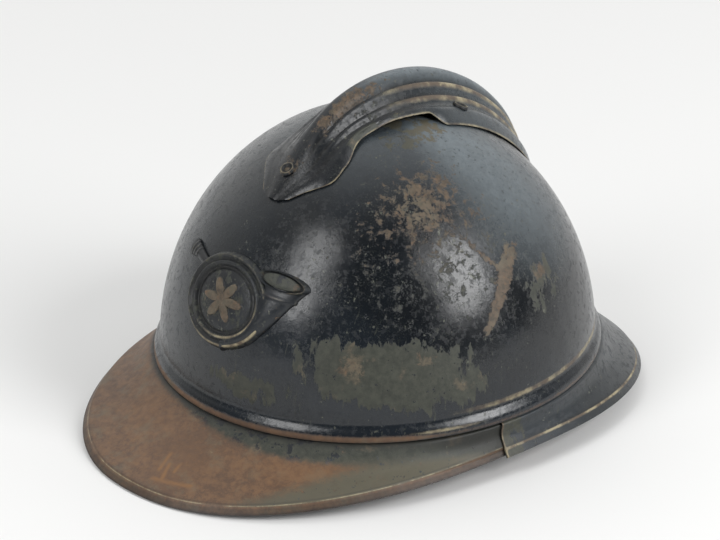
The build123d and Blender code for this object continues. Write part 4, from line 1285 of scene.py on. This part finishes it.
def liner_points(turn, rise, inset):
    """Place on an ellipsoid inside the bowl, a drop lower at the crown: (r cos rise, top sin rise)."""
    turn, rise, inset = np.broadcast_arrays(turn, rise, inset)
    half, top = bowl_half_length - inset, bowl_height - liner_drop - (inset - felt_inset)
    reach = half * np.cos(rise)
    return np.stack([reach * np.cos(turn) * oval, reach * np.sin(turn), top * np.sin(rise)], -1)


# %% The sweatband's tongues
tongue_count, tongue_gap, lace_place, lace_hole = 7, 9.0, 21.0, 2.0


def tongue_grid(middle):
    """Both faces of one tongue and how dark they are: columns run across its outer face, then back
    across its inner face. The slits beside it end in a half circle, sqrt(r^2 - d^2). Its lace hole is
    painted shade, a dark disc with a darker ring round it, and its edges are darker."""
    half, top = bowl_half_length - leather_inset, bowl_height - liner_drop - (leather_inset - felt_inset)
    rise = np.linspace(math.asin(band_low / top), math.acos(crown_hole / half), 90)[:, None]
    height = top * np.sin(rise)
    below = np.clip(band_top - height, 0, tongue_gap)
    round_end = np.sqrt(np.clip((tongue_gap / 2) ** 2 - below ** 2, 0, None))
    slit = np.where(height < band_top - tongue_gap / 2, 0, round_end)
    tip = 1 - 0.5 * eased(rise, rise.max() - 0.03, rise.max())
    half_turn = (np.pi / tongue_count - np.arcsin(np.clip(slit / (half * np.cos(rise)), 0, 0.9))) * tip
    across = np.linspace(-1, 1, 31)[None]
    ripple = 0.35 * np.sin(across * 7 + rise * 9 + middle)
    curl = 0.5 * np.abs(across) ** 4 * (slit > 0.5) + ripple * (slit > 0)
    thin = leather_thick * (1 - 0.35 * np.abs(across) ** 10)
    turn = middle + half_turn * across
    outer = liner_points(turn, rise, leather_inset + curl)
    inner = liner_points(turn, rise, leather_inset + curl + thin)
    plan = np.hypot(outer[..., 0], outer[..., 1])
    to_hole = np.hypot(plan - lace_place, plan * (turn - middle))
    # The lace hole is painted shade: a dark disc in place of a cut hole, with a darker ring round it.
    dark = 1.4 * (to_hole < lace_hole) + 0.35 * hump(to_hole, lace_hole, 1.0)
    dark = np.clip(dark + 0.4 * np.abs(across) ** 12, 0, 1)
    return np.concatenate([outer, inner[:, ::-1]], 1), np.concatenate([dark, dark[:, ::-1]], 1)


for number in range(tongue_count):
    points, dark = tongue_grid(math.pi / 2 + 2 * math.pi * number / tongue_count)
    tongue = grid_mesh("sweatband_tongue_" + str(number + 1), stood(points), caps=True, marks={"grime_and_shade": dark})
    dress(tongue, "helmet", "liner_leather", liner_leather, "liner_sweatband")

# %% The felt band
felt_skin, felt_low_room, felt_top_room = 0.15, 0.3, 1.0
felt_turn = np.radians(np.arange(0, 360, 2))[:, None]
felt_high = np.linspace(band_low + felt_low_room, felt_top - felt_top_room, 24)[None]
felt_outer, felt_inner = (
    liner_points(felt_turn, np.arcsin(felt_high / (bowl_height - liner_drop - extra)), felt_inset + extra)
    for extra in (felt_skin, felt_thick - felt_skin))
felt_grid = np.concatenate([felt_outer, felt_inner[:, ::-1]], 1)
felt_shape = grid_mesh("felt_band", stood(felt_grid), ring=True, marks={"grime_and_shade": 0.0})
dress(felt_shape, "helmet", "liner_felt", felt, "liner_felt_band")

# %% [markdown]
# ## The chinstrap
#
# The strap is one band of leather on edge, in a U inside the brim, pinned at its two ends. Its
# turned-back end lies along the front run, under the slide buckle and a leather keeper. A band is a
# path, a half width and a half thickness: its section is a rectangle with rolled edges, written as
# a high power of the width, so it is thick in the middle and closes smoothly at the edges. At its
# ends the half width follows a circle, which rounds the leather about its rivet.

# %% Bands of leather


def edge_section(columns):
    """Places u across a band, closer at its edges, and its share of the thickness, (1 - u^8)^(1/4)."""
    u = np.sin(np.linspace(-np.pi / 2, np.pi / 2, columns))
    return u, (1 - np.abs(u) ** 8) ** 0.25


def band(path, width_way, half_width, half_thick, columns=25):
    """Grid round a flat band, its section carried along the path, and a mark that darkens its edges."""
    run = unit(np.gradient(path, axis=0))
    face = unit(np.cross(run, width_way))
    u, v = edge_section(columns)
    half_width = np.broadcast_to(half_width, (len(path),))[:, None, None]
    side = half_width * u[None, :, None] * np.asarray(width_way, float)
    lift = half_thick * v[None, :, None] * face[:, None]
    grid = np.concatenate([path[:, None] + side + lift, (path[:, None] + side - lift)[:, ::-1]], 1)
    return grid, np.abs(np.concatenate([u, u[::-1]]))[None] ** 10


def centre_of(name):
    """Middle of a CAD piece's box, in millimetres."""
    low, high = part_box(name)
    return np.array([(a + b) / 2 / mm for a, b in zip(low, high)])


def leather_piece(name, grid, edge, body, replaced):
    """A piece of strap leather, darker along its edges, in place of one CAD node."""
    piece = grid_mesh(name, grid, caps=True, marks={"grime_and_shade": 0.75 * edge})
    return dress(piece, body, "strap_leather", strap_leather, replaced)


# %% The chinstrap
strap_width, strap_sheet, strap_run, strap_corner, tail_gap = 13.0, 1.8, 22.0, 66.0, 0.1
stow = math.radians(0.6)
blunt_share = 0.999
reach, strap_front = strap_width / 2, strap_run + strap_corner
pivot = centre_of("strap_rivet_left")
strap_half = (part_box("chinstrap")[1][0] / mm) - strap_sheet / 2


def stowed(points):
    """Points drawn with the pivots on the X axis, turned by the stow angle and lifted to the pivot."""
    x, y, z = np.moveaxis(points, -1, 0)
    return np.stack([x, pivot[1] + y * math.cos(stow) - z * math.sin(stow),
                     pivot[2] + y * math.sin(stow) + z * math.cos(stow)], -1)


straight_y = np.linspace(reach, -strap_run, 40)
straight = np.stack([np.full_like(straight_y, strap_half), straight_y], -1)
bend_angle = np.linspace(0, np.pi / 2, 60)[1:]
bend = np.stack([strap_half - strap_corner + strap_corner * np.cos(bend_angle),
                 -strap_run - strap_corner * np.sin(bend_angle)], -1)
left_half = np.concatenate([straight, bend, [[0, -strap_front]]])
flat = np.concatenate([left_half, (left_half * [-1, 1])[-2::-1]])
strap_path = np.concatenate([flat, np.zeros((len(flat), 1))], 1)
past_pivot = np.clip(flat[:, 1], 0, reach * blunt_share)
strap_grid, strap_edge = band(strap_path, (0, 0, 1), np.sqrt(reach ** 2 - past_pivot ** 2), strap_sheet / 2)
leather_piece("chinstrap_leather", stowed(strap_grid), strap_edge, "chinstrap", "chinstrap")

# %% Its turned-back end
tail_start, tail_length = -28.0, 50.0
tail_blunt_share = 0.995
tail_x = np.linspace(tail_start, tail_start + tail_length, 80)
tail_path = np.stack([tail_x, np.full_like(tail_x, -strap_front - strap_sheet - tail_gap), 0 * tail_x], -1)
to_end = np.clip(tail_x - (tail_start + tail_length - reach), 0, reach * tail_blunt_share)
tail_grid, tail_edge = band(tail_path, (0, 0, 1), np.sqrt(reach ** 2 - to_end ** 2), strap_sheet / 2)
leather_piece("strap_tail_leather", stowed(tail_grid), tail_edge, "chinstrap", "strap_tail")

# %% The keeper
keeper_place, keeper_width, keeper_sheet, keeper_play = 14.0, 7.0, 1.2, 0.3
half_deep = strap_sheet + tail_gap / 2 + keeper_play + keeper_sheet / 2
half_high = reach + keeper_play + keeper_sheet / 2
keeper_middle = np.array([keeper_place, -strap_front - (strap_sheet + tail_gap) / 2, 0])
ring_angle = np.linspace(0, 2 * np.pi, 120, endpoint=False)
ring_cos, ring_sin = np.cos(ring_angle), np.sin(ring_angle)
loop_share = (np.abs(ring_cos) ** 10 + np.abs(ring_sin) ** 10) ** -0.1
keeper_path = keeper_middle + np.stack(
    [0 * ring_angle, half_deep * ring_cos * loop_share, half_high * ring_sin * loop_share], -1)
thick_share = np.array([0, keeper_sheet / 2 / half_deep, keeper_sheet / 2 / half_high])
u, v = (value[None, :, None] for value in edge_section(15))
offset = ((keeper_path - keeper_middle) * thick_share)[:, None]
width_step = u * keeper_width / 2 * np.array([1, 0, 0])
keeper_grid = np.concatenate([keeper_path[:, None] + width_step + v * offset,
                              (keeper_path[:, None] + width_step - v * offset)[:, ::-1]], 1)
keeper = grid_mesh("strap_keeper_leather", stowed(keeper_grid), ring=True, marks={"grime_and_shade": 0.2})
dress(keeper, "chinstrap", "strap_leather", strap_leather, "strap_keeper")

# %% The leather tabs round the wire loops
fold_sheet, fold_gap, fold_leg_gap, fold_length, fold_pinch, wire_radius = 1.5, 0.25, 0.1, 14.4, 3.5, 1.2
leg, hug = (fold_sheet + fold_leg_gap) / 2, wire_radius + fold_gap + fold_sheet / 2
right_leg = [(leg, -fold_length), (leg, -fold_pinch), (hug, -wire_radius / 2), (hug, hug)]
fold_keys = np.array(right_leg + [(-x, z) for x, z in reversed(right_leg)])[:, None]
fold_run = rounded(fold_keys, [0, 1.5, 1.5, 2.1, 2.1, 1.5, 1.5, 0], 12)[:, 0]
for side in ("left", "right"):
    low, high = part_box("strap_end_" + side)
    middle_x, middle_y = (low[0] + high[0]) / 2 / mm, (low[1] + high[1]) / 2 / mm
    bar_z = low[2] / mm + fold_length
    fold_path = np.stack([middle_x + fold_run[:, 0], np.full(len(fold_run), middle_y),
                          bar_z + fold_run[:, 1]], -1)
    fold_grid, fold_edge = band(fold_path, (0, 1, 0), reach, fold_sheet / 2)
    leather_piece("strap_end_leather_" + side, fold_grid, fold_edge, "helmet", "strap_end_" + side)
